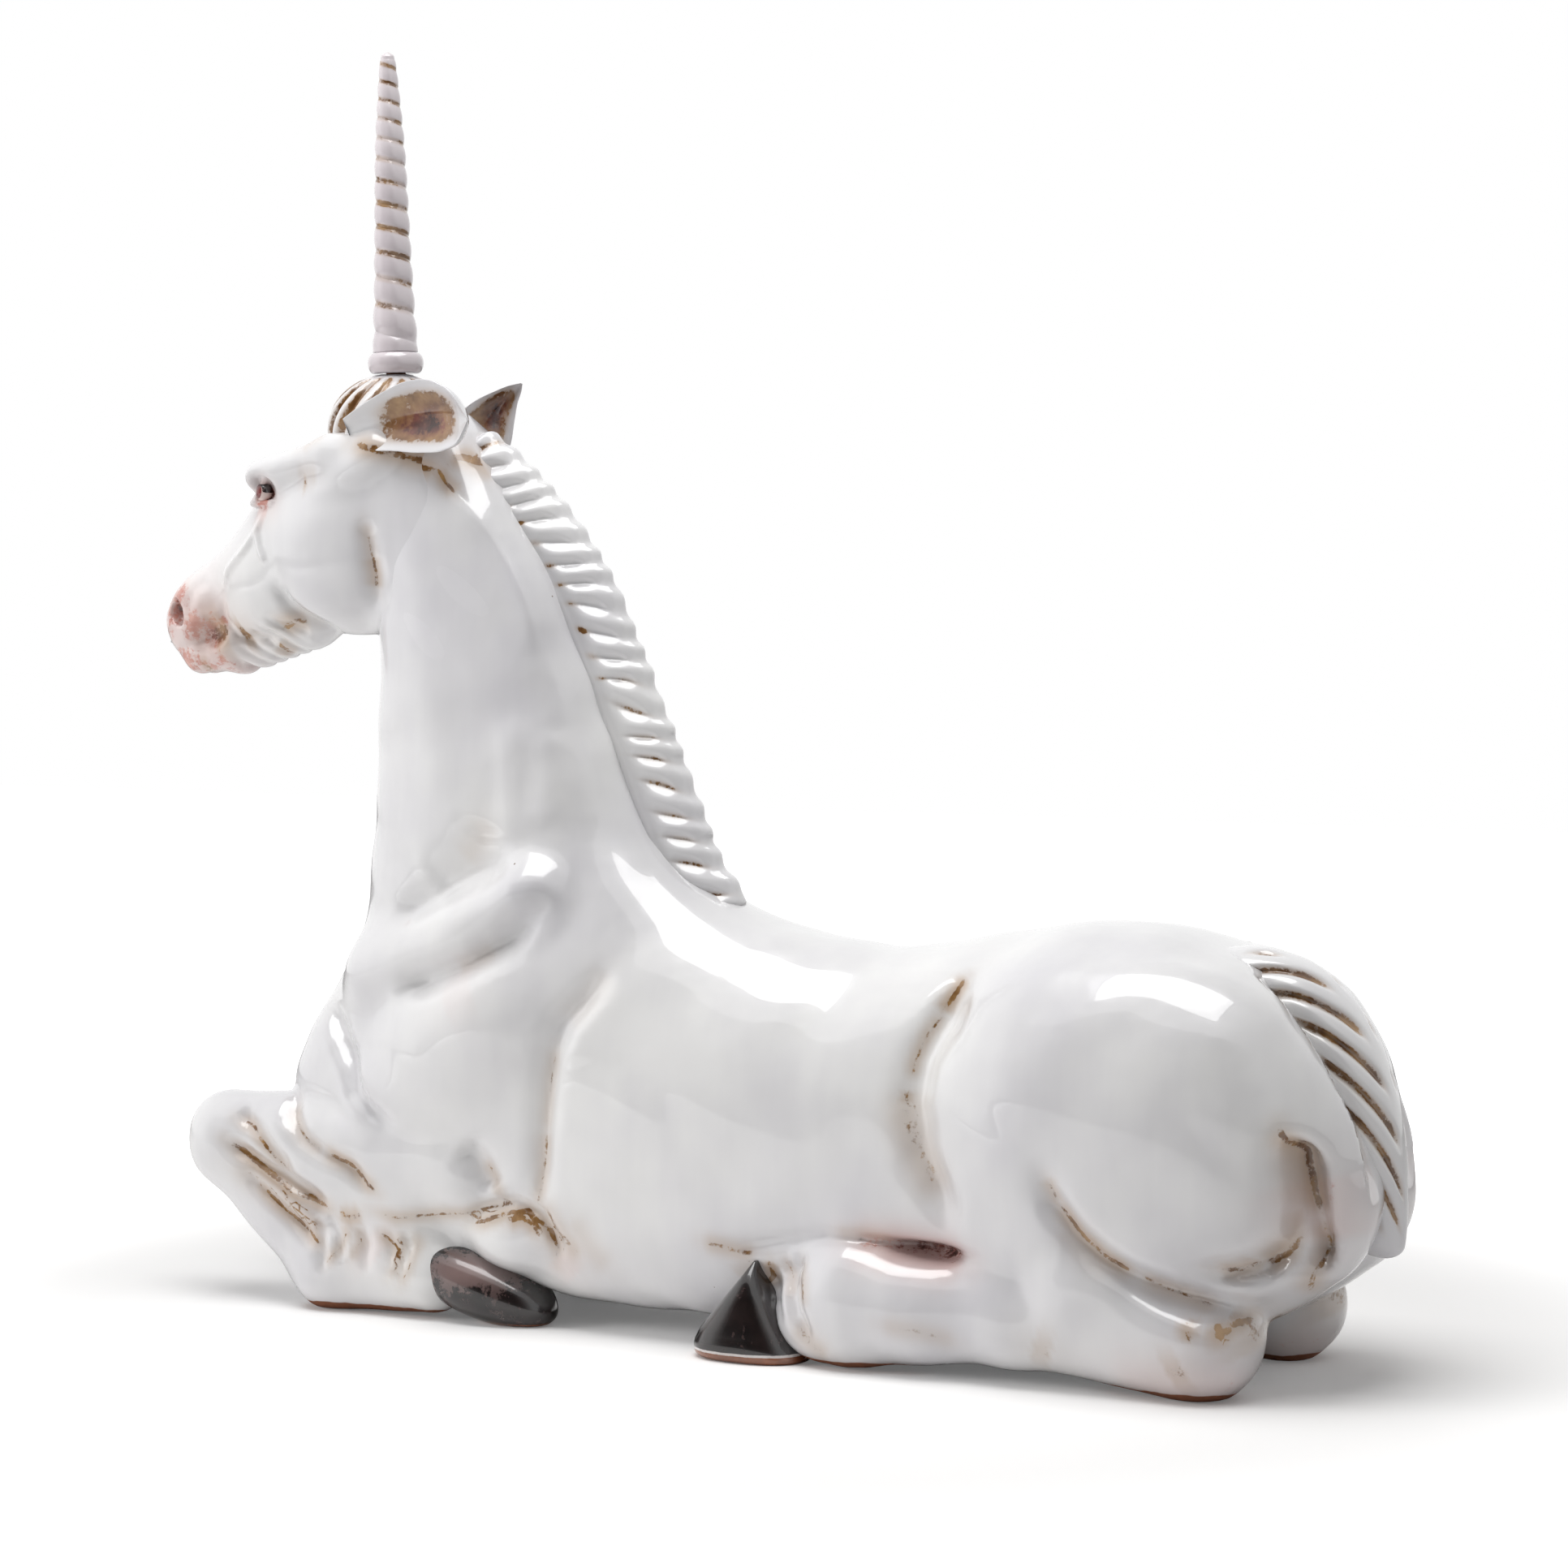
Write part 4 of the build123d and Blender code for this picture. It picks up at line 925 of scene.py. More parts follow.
head_glaze = glazed_white(
    "head_glaze", white=(0.83, 0.825, 0.82, 1.0), grey=(0.70, 0.69, 0.715, 1.0), clay_rim=0.0)
head.data.materials.append(head_glaze)


# Eyes: a small glazed almond let into each socket under the brow, its iris painted red-brown with
# a dark rim above and a rosy white round it.
eye_centre = np.array([-265.2, 27.5, 416.4])
eye_facing = np.array([-0.42, 0.90, 0.02])
eye_wide = 4.9
eye_bulge = 4.4
eye_tall = 5.2
eye_rows = 41
eye_around = 48
eye_strength = 1.3
eye_edge = (0.62, 0.80)
pole_gap = 0.02


def full_turn(count):
    """The angles of one whole turn, as a row of equal steps."""
    return np.linspace(0.0, 2.0 * np.pi, count, endpoint=False)[None, :]


def add_rings(name, rings, paints):
    """A piece from a stack of equal rings in millimetres: quads between rings, and a fan to a
    middle point at each end. A paint is given per ring corner."""
    rows, around = rings.shape[:2]
    corners = np.concatenate([rings.reshape(-1, 3), [rings[0].mean(axis=0)], [rings[-1].mean(axis=0)]])
    row = np.arange(rows - 1)[:, None] * around
    here = np.arange(around)
    beside = (here + 1) % around
    quads = np.stack([row + here, row + beside, row + around + beside, row + around + here], axis=-1)
    last_row = (rows - 1) * around
    fans = np.concatenate([
        np.stack([np.full(around, rows * around), beside, here], axis=-1),
        np.stack([np.full(around, rows * around + 1), last_row + here, last_row + beside], axis=-1),
    ])
    spread = {}
    for paint, amounts in paints.items():
        spread[paint] = np.concatenate([amounts.ravel(), [amounts[0].mean(), amounts[-1].mean()]])
    return add_piece(name, corners, quads.reshape(-1, 4), spread, fans)


eye_paint, eye_tree, eye_output = new_material("painted_eye")
eye_place = place_node(eye_tree, "ShaderNodeTexCoord")
eye_iris = place_node(eye_tree, "ShaderNodeAttribute", {"attribute_name": "iris"})
eye_rim = place_node(eye_tree, "ShaderNodeAttribute", {"attribute_name": "rim"})
eye_white = use_group(eye_tree, clouded, {"White": (0.78, 0.66, 0.62, 1.0), "Grey": (0.62, 0.42, 0.38, 1.0)})
eye_red = use_group(eye_tree, wiped, {
    "Light": (0.30, 0.05, 0.045, 1.0), "Dark": (0.10, 0.018, 0.018, 1.0), "Wash": 0.2})
eye_dark = use_group(eye_tree, wiped, {
    "Light": (0.03, 0.018, 0.018, 1.0), "Dark": (0.012, 0.008, 0.01, 1.0), "Wash": 0.2})
eye_gloss = place_node(eye_tree, "ShaderNodeBsdfPrincipled", values={
    "Roughness": 0.2, "Coat Weight": 1.0, "Coat Roughness": 0.03})
wire(
    eye_tree,
    (eye_place, "Object", eye_white, "Vector"), (eye_place, "Object", eye_red, "Vector"),
    (eye_place, "Object", eye_dark, "Vector"), (eye_white, "Color", eye_red, "Under"),
    (eye_iris, "Fac", eye_red, "Amount"), (eye_red, "Color", eye_dark, "Under"),
    (eye_rim, "Fac", eye_dark, "Amount"), (eye_dark, "Color", eye_gloss, "Base Color"),
    (eye_gloss, "BSDF", eye_output, "Surface"),
)

tilt = np.linspace(pole_gap, np.pi - pole_gap, eye_rows)[:, None]
turn = full_turn(eye_around)
flat = np.sin(tilt) * np.cos(turn)
tall = np.sin(tilt) * np.sin(turn)
bulge = np.cos(tilt) * np.ones_like(turn)
off_pupil = np.hypot(flat + 0.10, tall - 0.05)
for eye_name, eye_side in (("eye_left", -1.0), ("eye_right", 1.0)):
    out = eye_facing * (1.0, eye_side, 1.0)
    out = out / np.linalg.norm(out)
    up = np.array([0.0, 0.0, 1.0]) - out * out[2]
    up = up / np.linalg.norm(up)
    side = np.cross(up, out)
    eye_rings = eye_centre * (1.0, eye_side, 1.0) + eye_wide * flat[..., None] * side
    eye_rings = eye_rings + eye_tall * tall[..., None] * up + eye_bulge * bulge[..., None] * out
    eye = add_rings(eye_name + "_glass", eye_rings, {
        "iris": np.where(bulge > 0.0, eye_strength * (1.0 - ease(off_pupil, *eye_edge)), 0.0),
        "rim": np.where(tall > -0.1, eye_strength * ease(np.hypot(flat, tall), *eye_edge), 0.0),
    })
    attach(eye, "figure")
    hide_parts(eye_name)
    eye.data.materials.append(eye_paint)


# Mane: a thick combed crest laid along the back of the neck, about twenty pressed locks on each
# side, a smooth rope edge at the top and a raised bead where it meets the neck.
mane_crest = np.array([
    (-150.0, 450.0), (-135.4, 441.0), (-124.8, 432.5), (-112.3, 421.2), (-96.1, 404.3), (-81.0, 384.3),
    (-72.0, 370.4), (-64.5, 355.0), (-58.5, 341.2), (-51.5, 327.5), (-45.9, 311.8), (-38.9, 298.1),
    (-32.5, 282.4), (-26.9, 268.8), (-20.0, 253.6), (-15.2, 241.6), (-8.1, 228.2), (1.0, 217.5), (6.0, 208.0),
])
mane_locks = 21
mane_depth = 26.0
mane_root = 16.0
mane_half = 14.0
mane_rows = 620
mane_around = 96
crest_smoothing = 25
mane_round_until = 0.03
mane_round_from = 0.965
end_tuck = 12.0
end_half = 0.02
lock_lean = 0.048
lock_wander = 0.10
lock_valley = 2.3
lock_swell = 0.9
root_bead = 1.6
rope_wave = 0.9


def rows_along(line, rows):
    """Evenly spaced places along a line of the side view: their share of its length, their x and
    their z."""
    lengths = np.concatenate([[0.0], np.cumsum(np.hypot(*np.diff(line, axis=0).T))])
    share = np.linspace(0.0, 1.0, rows)
    place_x = smooth_between(share * lengths[-1], lengths, line[:, 0])
    return share, place_x, smooth_between(share * lengths[-1], lengths, line[:, 1])


def outward(line_x, line_z):
    """The upright direction square to a line of the side view at each of its places, as x and z."""
    run_x = np.gradient(line_x)
    run_z = np.gradient(line_z)
    run = np.hypot(run_x, run_z)
    return -run_z / run, run_x / run


def closing(share):
    """A quarter circle that closes an end: 1 up to a share of 0, and down to 0 at a share of 1."""
    return np.sqrt(np.clip(1.0 - np.clip(share, 0.0, 1.0) ** 2, 0.0, 1.0))


def hump(off, width):
    """A bell: 1 where off is 0, and 0.37 at a width to either side."""
    return np.exp(-(off / width) ** 2)


lock_place, crest_x, crest_z = rows_along(mane_crest, mane_rows)
soften = np.ones(crest_smoothing) / crest_smoothing
crest_pad = crest_smoothing // 2
crest_x = np.convolve(np.pad(crest_x, crest_pad, mode="reflect", reflect_type="odd"), soften, mode="valid")
crest_z = np.convolve(np.pad(crest_z, crest_pad, mode="reflect", reflect_type="odd"), soften, mode="valid")
out_x, out_z = outward(crest_x, crest_z)
turn = full_turn(mane_around)
place = lock_place[:, None]
close = closing((place - mane_round_from) / (1.0 - mane_round_from))
close = np.maximum(close * closing((mane_round_until - place) / mane_round_until), end_half)
height = 0.5 * (mane_depth - mane_root) + 0.5 * (mane_depth + mane_root) * np.cos(turn)
height = height * np.ones_like(place)
comb = place * mane_locks - lock_lean * height + lock_wander * np.sin(place * 37.0)
valley = np.abs(comb - np.round(comb)) / 0.5
shown = ease(height, 5.0, 12.0) * ease(23.0 - height, 0.0, 7.0)
thick = mane_half * np.abs(np.sin(turn)) ** 0.8 * (1.0 - 0.30 * ease(height, 4.0, mane_depth))
thick = thick - lock_valley * hump(valley, 0.16 + 0.26 * shown) * shown
thick = thick + lock_swell * hump(valley - 1.0, 0.5) * shown
thick = thick + root_bead * hump(height - 0.5, 1.8)
lift = -rope_wave * np.cos(2.0 * np.pi * comb) * ease(height, 16.0, 25.0)
mane_out = (height - mane_depth + lift) * close - (1.0 - close) * end_tuck
mane_rings = np.stack([
    crest_x[:, None] + out_x[:, None] * mane_out,
    np.sign(np.sin(turn)) * thick * close,
    crest_z[:, None] + out_z[:, None] * mane_out,
], axis=-1)
lock_number = np.round(comb)
lower = ease(place, 0.50, 0.60)
groove_stain = hump(valley, 0.20) * hump(height - 15.0, 6.0) * lower
groove_stain = groove_stain * (0.62 + 0.38 * np.sin(lock_number * 2.4) ** 2)
spot_stain = hump(valley, 0.26) * hump(height - 6.0, 2.4) * (1.0 - lower)
spot_stain = spot_stain * ease(place, 0.06, 0.12) * (0.55 + 0.45 * np.sin(lock_number * 1.9) ** 2)
top_stain = hump(valley, 0.3) * (1.0 - ease(place, 0.02, 0.10)) * ease(height, 0.0, 4.0)
end_stain = hump(place - 0.955, 0.02) * hump(height - 3.0, 4.0)
mane_ochre = np.maximum(np.maximum(groove_stain, spot_stain), 0.9 * np.maximum(top_stain, end_stain))
mane = add_rings("mane_locks", mane_rings, {"ochre": mane_ochre})
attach(mane, "figure")
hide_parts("mane")
mane.data.materials.append(head_glaze)


# Forelock: a turned mound of locks on the poll, with the socket for the horn in its top. The
# grooves between the locks curl from the horn down to the brow and are filled with ochre.
lock_centre = np.array([-203.0, 0.0, 449.0])
lock_size = np.array([34.0, 33.0, 28.5])
lock_count = 17
lock_twist = 0.40
lock_rows = 120
lock_around = 360
lock_from = 0.30
lock_to = 2.25
lock_groove = 0.085
lock_crown = 0.02
seat = np.array([-201.7, 0.0, 476.8])
seat_lean = np.radians(1.5)
seat_up = np.array([-np.sin(seat_lean), 0.0, np.cos(seat_lean)])
socket_radius = 5.4
socket_depth = 20.0
land_radius = 9.0
land_drop = 0.4
fall = np.linspace(lock_from, lock_to, lock_rows)[:, None]
turn = full_turn(lock_around)
curl = lock_count * (np.pi - np.abs(turn - np.pi) + 0.2 - lock_twist * fall) / (2.0 * np.pi)
groove = np.abs(curl - np.round(curl)) / 0.5
sunk = lock_groove * hump(groove, 0.44) - lock_crown * (1.0 - (1.0 - groove) ** 2)
press = 1.0 - sunk * ease(fall, 0.32, 0.62)
mound = np.stack([
    np.sin(fall) * np.cos(turn) * press,
    np.sin(fall) * np.sin(turn) * press,
    np.cos(fall) * np.ones_like(turn) * (0.985 + 0.015 * press),
], axis=-1) * lock_size + lock_centre
ring_x = np.cos(turn)[0]
ring_y = np.sin(turn)[0]


def level_ring(radius, drop):
    """A ring round the horn's line, at a radius and a drop below the seat."""
    return seat + np.stack([radius * ring_x, radius * ring_y, 0.0 * ring_x], axis=-1) - seat_up * drop


socket_rings = np.stack([
    level_ring(0.5, socket_depth), level_ring(socket_radius, socket_depth),
    level_ring(socket_radius, 8.0), level_ring(socket_radius, 0.9),
    level_ring(socket_radius + 0.5, land_drop), level_ring(land_radius, land_drop),
])
curl_stain = 1.9 * hump(groove, 0.56) * ease(fall, 0.40, 0.62) * (1.0 - ease(fall, 1.55, 1.9))
curl_stain = curl_stain * (0.8 + 0.2 * np.sin(np.round(curl) * 2.1))
forelock = add_rings("forelock_locks", np.concatenate([socket_rings, mound]), {
    "ochre": np.concatenate([np.zeros(socket_rings.shape[:2]), curl_stain])})
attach(forelock, "figure")
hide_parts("forelock")
forelock.data.materials.append(head_glaze)


# Ears: two pinched leaves of clay joined at the poll, with a thick white rim. The near one lies
# back and opens outwards, the far one stands up; both cups are painted ochre and brown.
ear_rows = 90
ear_around = 96
ear_thick = 7.6
ear_edge_power = 0.65
ear_along = [0.0, 0.12, 0.35, 0.6, 0.8, 0.92, 1.0]
ear_cup = [6.0, 8.0, 10.5, 11.5, 9.5, 6.0, 0.5]
near_ear_half = [8.5, 11.0, 15.0, 18.5, 17.0, 11.5, 1.0]
far_ear_half = [12.0, 15.0, 15.5, 11.5, 6.5, 3.5, 0.5]
# name, foot, way it points, way it opens, length, half widths, hollow
ears = [
    ("ear_left", (-208.0, -37.0, 444.5), (0.965, -0.09, 0.14), (0.06, -0.97, 0.02), 78.0, near_ear_half, 1.0),
    ("ear_right", (-176.0, 35.0, 433.0), (0.45, 0.08, 0.90), (0.55, -0.80, 0.10), 47.0, far_ear_half, 0.8),
]


def squared_off(wave, power):
    """A sine or cosine with its size raised to a power and its sign kept. A power under 1 makes a
    ring squarer."""
    return np.sign(wave) * np.abs(wave) ** power


share = (0.5 - 0.5 * np.cos(np.linspace(0.0, np.pi, ear_rows)))[:, None]
turn = full_turn(ear_around)
across = np.cos(turn) * np.ones_like(share)
bend = 3.0 * np.sin(np.pi * share) - 5.0 * share ** 3
cup_paint = np.where(np.sin(turn) > 0.0, 1.0, 0.0) * (1.0 - ease(np.abs(across), 0.40, 0.88))
cup_paint = 1.5 * cup_paint * ease(share, 0.14, 0.44) * (1.0 - ease(share, 0.72, 0.95))
low_stain = np.where(np.sin(turn) < 0.0, 1.0, 0.0) * ease(-across, 0.25, 0.6) * ease(share, 0.1, 0.25)
low_stain = low_stain * (1.0 - ease(share, 0.6, 0.85))
ear_ochre = np.maximum(cup_paint, 0.7 * low_stain)
ear_umber = 0.60 * cup_paint * hump(share - 0.60, 0.26) * hump(across + 0.2, 0.45)
for ear_name, ear_foot, ear_reach, ear_open, ear_length, ear_half, ear_hollow in ears:
    reach_way = np.array(ear_reach) / np.linalg.norm(ear_reach)
    open_way = np.array(ear_open) - reach_way * (ear_open @ reach_way)
    open_way = open_way / np.linalg.norm(open_way)
    up_way = np.cross(open_way, reach_way)
    up_way = up_way * np.sign(up_way[2] - up_way[0])
    half = smooth_between(share, ear_along, ear_half)
    cup = ear_hollow * smooth_between(share, ear_along, ear_cup)
    leaf = np.minimum(ear_thick, 0.55 * half + 0.8)
    sink = -cup * (1.0 - across ** 2) + 0.5 * leaf * squared_off(np.sin(turn), ear_edge_power)
    ear_rings = np.array(ear_foot) + ear_length * share[..., None] * reach_way
    ear_rings = ear_rings + (half * across + bend)[..., None] * up_way + sink[..., None] * open_way
    ear = add_rings(ear_name + "_leaf", ear_rings, {"ochre": ear_ochre, "umber": ear_umber})
    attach(ear, "figure")
    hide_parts(ear_name)
    ear.data.materials.append(head_glaze)


# Tail: a short tail of combed clay pressed down over the rump, with slanting ochre grooves on each
# side and a smooth rim along its outer edge.
tail_line = np.array([
    (246.0, 190.0), (262.0, 190.0), (280.0, 187.0), (296.0, 180.0), (308.0, 169.0), (318.0, 154.0),
    (325.5, 136.0), (330.5, 117.0), (333.0, 98.0), (334.0, 82.0), (334.0, 70.0), (333.0, 61.0),
])
tail_rows = 260
tail_around = 96
tail_half = 25.0
tail_deep = 14.0
tail_share = np.linspace(0.0, 1.0, 9)
tail_wide_share = [0.35, 0.8, 1.0, 1.0, 0.94, 0.80, 0.60, 0.38, 0.2]
tail_deep_share = [0.5, 0.9, 1.0, 1.0, 1.0, 1.0, 0.95, 0.9, 0.8]
tail_grooves = 7.8
tail_slant = 1.75
tail_press = 0.20
tail_square = 0.9
tail_round_from = 0.96
hang, tail_x, tail_z = rows_along(tail_line, tail_rows)
out_x, out_z = outward(tail_x, tail_z)
turn = full_turn(tail_around)
fall = hang[:, None]
wide = tail_half * smooth_between(fall, tail_share, tail_wide_share)
deep = tail_deep * smooth_between(fall, tail_share, tail_deep_share)
lean = np.abs(np.arctan2(np.sin(turn), np.cos(turn)))
strand = tail_grooves * fall + tail_slant * lean / (0.5 * np.pi) - tail_slant
gap = np.abs(strand - np.round(strand)) / 0.5
combed = ease(lean, 0.12, 0.40) * ease(2.1 - lean, 0.0, 0.4)
combed = combed * ease(fall, 0.12, 0.20) * ease(1.0 - fall, 0.05, 0.14)
press = 1.0 - tail_press * hump(gap, 0.36) * combed
close = np.maximum(closing((fall - tail_round_from) / (1.0 - tail_round_from)), 0.03)
tail_off = deep * squared_off(np.cos(turn), tail_square) * press * close
tail_rings = np.stack([
    tail_x[:, None] + out_x[:, None] * tail_off,
    wide * squared_off(np.sin(turn), tail_square) * press * close,
    tail_z[:, None] + out_z[:, None] * tail_off,
], axis=-1)
tail = add_rings("tail_locks", tail_rings, {"ochre": 1.2 * hump(gap, 0.30) * combed})
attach(tail, "figure")
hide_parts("tail")
tail.data.materials.append(head_glaze)


# Hooves: modelled with the feet and brushed over in manganese brown, streaked and thin on the high
# parts. The hind ones end in a white line over a thin rim of bare red clay at the floor.
hoof_brown, hoof_tree, hoof_output = new_material("hoof_brown")
hoof_place = place_node(hoof_tree, "ShaderNodeTexCoord")
hoof_amount = place_node(hoof_tree, "ShaderNodeAttribute", {"attribute_name": "brown"})
hoof_bare = place_node(hoof_tree, "ShaderNodeAttribute", {"attribute_name": "clay"})
hoof_line = place_node(hoof_tree, "ShaderNodeAttribute", {"attribute_name": "bare_line"})
hoof_ground = use_group(hoof_tree, clouded, {
    "White": (0.26, 0.18, 0.17, 1.0), "Grey": (0.10, 0.065, 0.062, 1.0)})
hoof_coat = use_group(hoof_tree, wiped, {
    "Light": (0.022, 0.013, 0.012, 1.0), "Dark": (0.006, 0.004, 0.004, 1.0), "Wash": 0.8})
hoof_white = use_group(hoof_tree, wiped, {
    "Light": (0.80, 0.78, 0.77, 1.0), "Dark": (0.60, 0.55, 0.53, 1.0), "Wash": 0.2})
hoof_clay = use_group(hoof_tree, wiped, {
    "Light": (0.34, 0.12, 0.05, 1.0), "Dark": (0.20, 0.07, 0.035, 1.0), "Wash": 0.1})
hoof_gloss = place_node(hoof_tree, "ShaderNodeBsdfPrincipled", values={
    "Roughness": 0.25, "Coat Weight": 1.0, "Coat Roughness": 0.05})
hoof_bump = place_node(hoof_tree, "ShaderNodeBump", values={"Strength": 0.2, "Distance": 0.003})
for hoof_layer in (hoof_ground, hoof_coat, hoof_white, hoof_clay):
    wire(hoof_tree, (hoof_place, "Object", hoof_layer, "Vector"))
wire(
    hoof_tree,
    (hoof_ground, "Color", hoof_coat, "Under"), (hoof_amount, "Fac", hoof_coat, "Amount"),
    (hoof_coat, "Color", hoof_white, "Under"), (hoof_line, "Fac", hoof_white, "Amount"),
    (hoof_white, "Color", hoof_clay, "Under"), (hoof_bare, "Fac", hoof_clay, "Amount"),
    (hoof_clay, "Color", hoof_gloss, "Base Color"), (hoof_ground, "Height", hoof_bump, "Height"),
    (hoof_bump, "Normal", hoof_gloss, "Normal"), (hoof_gloss, "BSDF", hoof_output, "Surface"),
)

hind_up = [0.0, 1.0, 5.0, 12.0, 22.0, 33.0, 42.0, 47.0]
hind_front = [17.0, 15.5, 14.0, 16.5, 24.5, 34.0, 41.5, 45.0]
hind_back = [71.0, 72.0, 71.0, 67.5, 61.5, 55.0, 49.5, 47.2]
hind_half = [18.0, 19.5, 21.0, 20.5, 18.5, 15.0, 9.5, 4.0]
hind_middle = 66.0
hoof_square = 0.85
clay_ends = (3.4, 4.0)
white_ends = (4.6, 5.2)
fore_centre = np.array([-124.0, 44.0, 19.0])
fore_size = np.array([43.0, 22.0, 19.0])
fore_dip = np.radians(13.0)
fore_square_up = 0.9
fore_sole = 0.3
rub_centre = (-120.0, 27.0)
rub_size = (28.0, 11.0)
cap_strength = 1.4
hoof_around = 96
hind_rows = 80
fore_rows = 72
turn = full_turn(hoof_around)
level = np.linspace(hind_up[0], hind_up[-1], hind_rows)[:, None]
front = smooth_between(level, hind_up, hind_front)
back = smooth_between(level, hind_up, hind_back)
half = smooth_between(level, hind_up, hind_half)
above_clay = ease(level, *clay_ends)
above_white = ease(level, *white_ends)
tilt = np.linspace(pole_gap, np.pi - pole_gap, fore_rows)[:, None]
lump_x = fore_size[0] * np.cos(tilt) * np.ones_like(turn)
lump_y = fore_size[1] * squared_off(np.sin(tilt) * np.cos(turn), hoof_square)
lump_z = fore_size[2] * squared_off(np.sin(tilt) * np.sin(turn), fore_square_up)
for hoof_end, hoof_side in (("left", -1.0), ("right", 1.0)):
    hind_rings = np.stack([
        0.5 * (front + back) + 0.5 * (back - front) * squared_off(np.cos(turn), hoof_square),
        hoof_side * hind_middle + half * squared_off(np.sin(turn), hoof_square),
        level * np.ones_like(turn),
    ], axis=-1)
    hind_hoof = add_rings("hind_hoof_cap_" + hoof_end, hind_rings, {
        "brown": cap_strength * above_white * np.ones_like(turn),
        "clay": cap_strength * (1.0 - above_clay) * np.ones_like(turn),
        "bare_line": cap_strength * above_clay * (1.0 - above_white) * np.ones_like(turn),
    })
    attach(hind_hoof, "figure")
    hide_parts("hind_hoof_" + hoof_end)
    hind_hoof.data.materials.append(hoof_brown)
    fore_x = fore_centre[0] + lump_x * np.cos(fore_dip) - lump_z * np.sin(fore_dip)
    fore_z = fore_centre[2] - lump_x * np.sin(fore_dip) + lump_z * np.cos(fore_dip)
    fore_z = np.maximum(fore_z, fore_sole)
    rubbed = hump(fore_x - rub_centre[0], rub_size[0]) * hump(fore_z - rub_centre[1], rub_size[1])
    fore_rings = np.stack([fore_x, hoof_side * fore_centre[1] + lump_y, fore_z], axis=-1)
    fore_hoof = add_rings("fore_hoof_cap_" + hoof_end, fore_rings, {
        "brown": 1.1 - 0.98 * rubbed,
        "clay": 1.0 - ease(fore_z, 1.2, 2.2),
    })
    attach(fore_hoof, "figure")
    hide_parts("fore_hoof_" + hoof_end)
    fore_hoof.data.materials.append(hoof_brown)


# Horn: a separate cast and twisted cone in lilac white glaze, with a rolled collar at its foot and
# ochre rubbed into the groove. A bore in its foot slips over the clay peg in the forelock.
horn_length = 165.0
horn_foot = 11.3
horn_tip = 155.0
horn_bore = 5.12
horn_bore_depth = 26.0
horn_around = 128
shaft_rows = 460
tip_rows = 30
collar_rows = 28
horn_groove = 0.135
horn_up = [11.3, 20.0, 36.0, 60.0, 88.0, 118.0, 140.0, 155.0, 161.0, 164.0, 165.0]
horn_radius = [11.4, 11.3, 10.5, 9.6, 8.7, 7.6, 6.0, 4.6, 3.7, 2.3, 0.4]
horn_turn_up = [0.0, 30.0, 60.0, 90.0, 120.0, 150.0, 165.0]
horn_turns = [0.0, 1.9, 4.1, 6.5, 9.2, 12.3, 14.0]
collar_inner = 10.2
collar_swell = 4.2
collar_middle = 5.65
collar_half = 5.4
around = full_turn(horn_around)
all_round = np.ones_like(around)
rise = np.concatenate([
    np.linspace(horn_foot, horn_tip, shaft_rows), np.linspace(horn_tip + 0.3, horn_length, tip_rows),
])[:, None]
twist = around / (2.0 * np.pi) + smooth_between(rise, horn_turn_up, horn_turns)
lobe = np.abs(np.sin(np.pi * twist)) ** 0.75
carved = ease(rise, 12.0, 20.0) * (1.0 - ease(rise, 150.0, 163.0))
shaft_radius = smooth_between(rise, horn_up, horn_radius) * (1.02 - carved * horn_groove * (1.0 - lobe))
collar_angle = np.linspace(-0.5 * np.pi, 0.5 * np.pi, collar_rows)[:, None]
collar_radius = collar_inner + collar_swell * np.cos(collar_angle) ** 0.8
collar_rise = collar_middle + collar_half * np.sin(collar_angle)
bore_radius = np.array([[0.5], [horn_bore], [horn_bore], [horn_bore + 0.3], [9.0]])
bore_rise = np.array([[horn_bore_depth], [horn_bore_depth], [0.8], [0.25], [0.25]])
foot_radius = np.concatenate([bore_radius, collar_radius]) * all_round
all_radius = np.concatenate([foot_radius, shaft_radius])
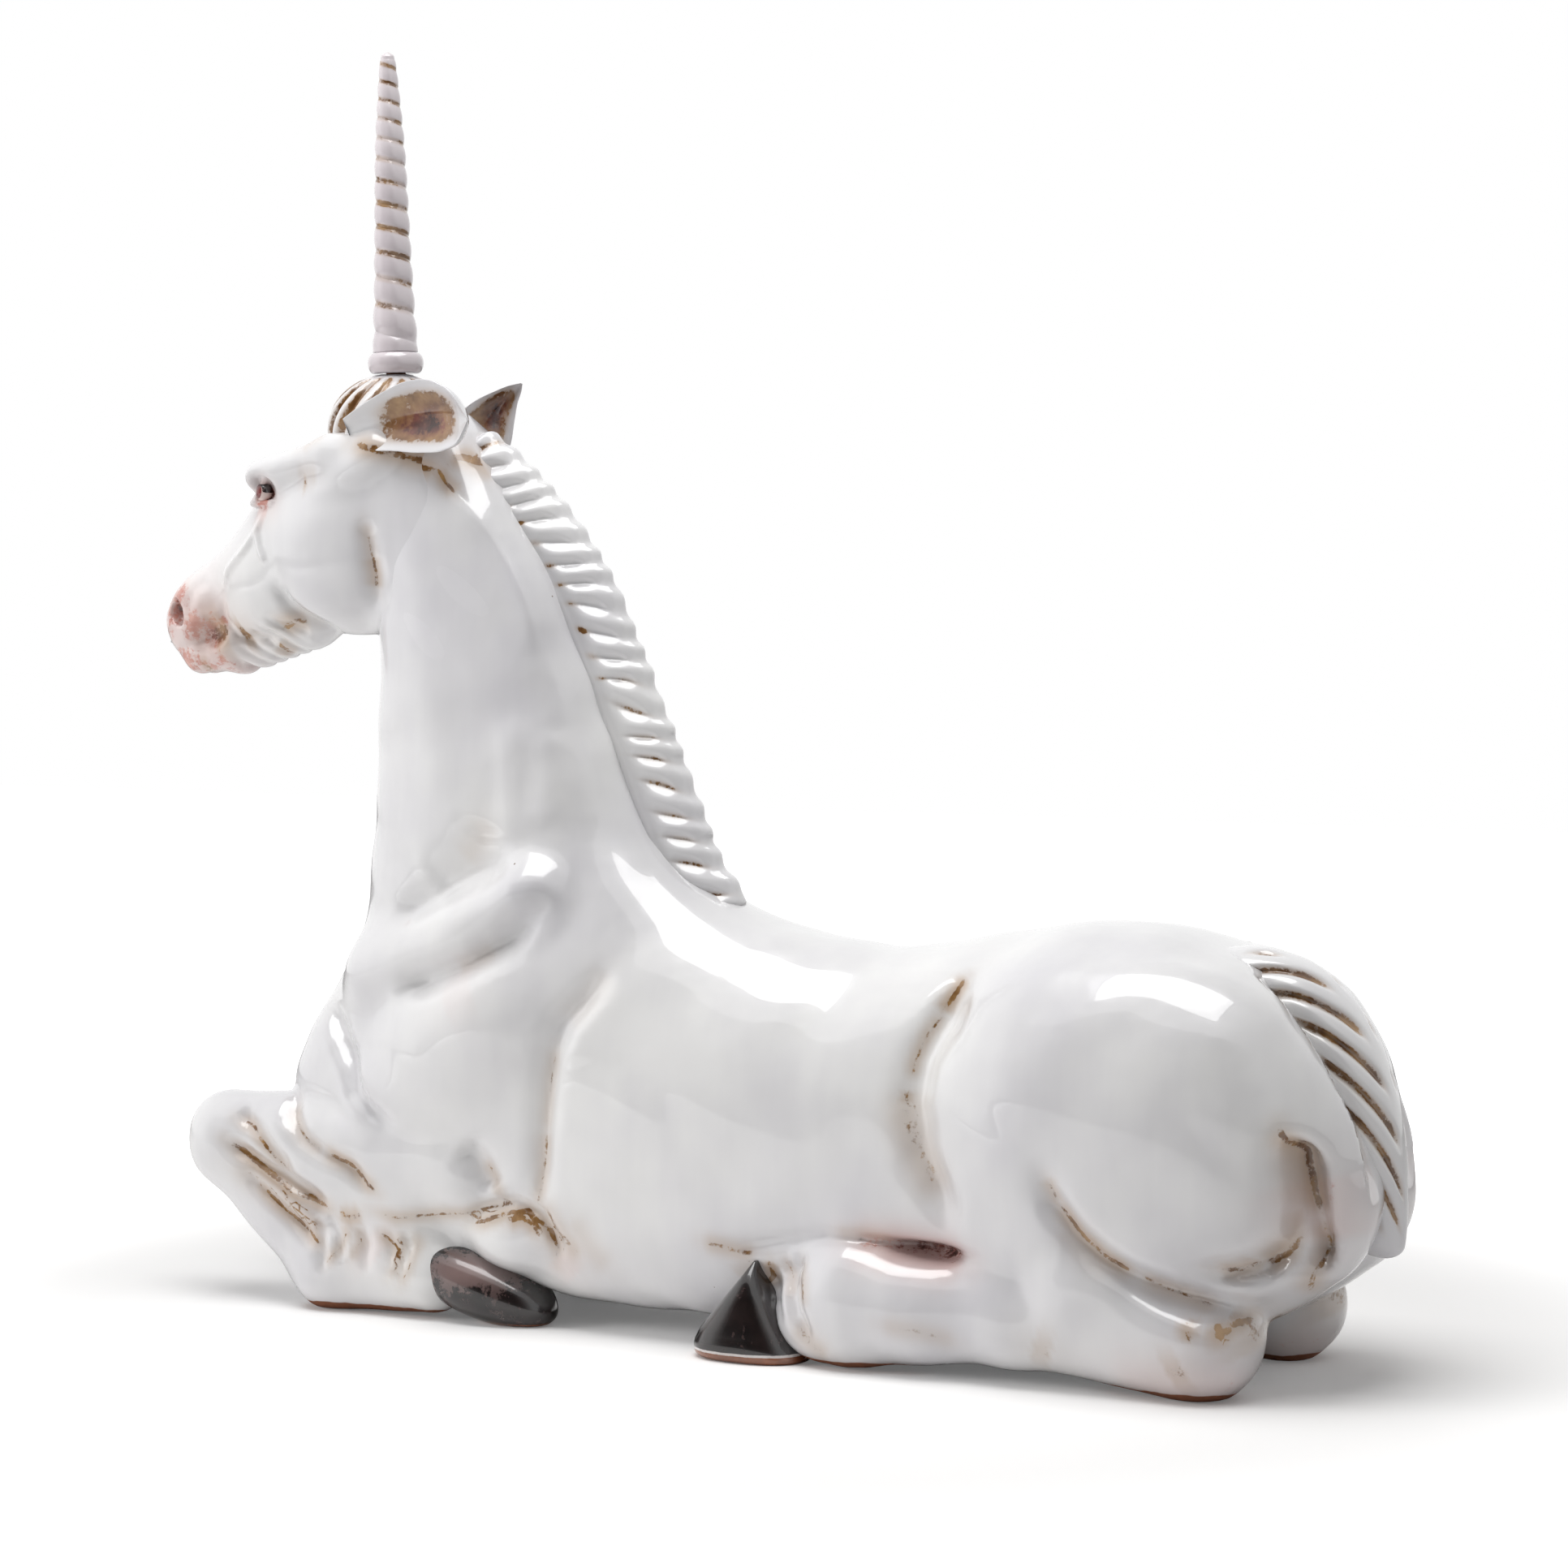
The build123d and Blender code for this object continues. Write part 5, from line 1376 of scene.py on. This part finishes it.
all_rise = np.concatenate([bore_rise, collar_rise, rise]) * all_round
cross_way = np.array([np.cos(seat_lean), 0.0, np.sin(seat_lean)])
side_way = np.array([0.0, 1.0, 0.0])
horn_rings = seat + (all_radius * np.cos(around))[..., None] * cross_way
horn_rings = horn_rings + (all_radius * np.sin(around))[..., None] * side_way + all_rise[..., None] * seat_up
groove_paint = hump(1.0 - np.abs(np.cos(np.pi * twist)), 0.10) * ease(rise, 26.0, 34.0)
groove_paint = groove_paint * (0.72 + 0.28 * np.sin(around + 2.6 + 0.08 * rise))
horn = add_rings("horn_twist", horn_rings, {
    "ochre": np.concatenate([np.zeros(foot_radius.shape), groove_paint])})
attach(horn, "horn")
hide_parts("horn")
horn_glaze = glazed_white(
    "horn_glaze", white=(0.76, 0.70, 0.72, 1.0), grey=(0.60, 0.54, 0.57, 1.0), clay_rim=0.0)
horn.data.materials.append(horn_glaze)


# Peg: a plain rod of the same red clay, fired unglazed, that holds the horn up in the forelock.
peg_clay, peg_tree, peg_output = new_material("peg_clay")
peg_place = place_node(peg_tree, "ShaderNodeTexCoord")
peg_grain = place_node(peg_tree, "ShaderNodeTexNoise", values={
    "Scale": 260.0, "Detail": 4.0, "Roughness": 0.7})
peg_mix = place_node(peg_tree, "ShaderNodeMix", {"data_type": "RGBA"}, {
    6: (0.36, 0.14, 0.065, 1.0), 7: (0.20, 0.075, 0.04, 1.0)})
peg_rough = place_node(peg_tree, "ShaderNodeBsdfPrincipled", values={"Roughness": 0.8})
peg_bump = place_node(peg_tree, "ShaderNodeBump", values={"Strength": 0.4, "Distance": 0.001})
wire(
    peg_tree,
    (peg_place, "Object", peg_grain, "Vector"), (peg_grain, "Fac", peg_mix, "Factor"),
    (peg_mix, 2, peg_rough, "Base Color"), (peg_grain, "Fac", peg_bump, "Height"),
    (peg_bump, "Normal", peg_rough, "Normal"), (peg_rough, "BSDF", peg_output, "Surface"),
)
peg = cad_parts["horn_peg"]
for peg_slot in peg.material_slots:
    peg_slot.material = peg_clay
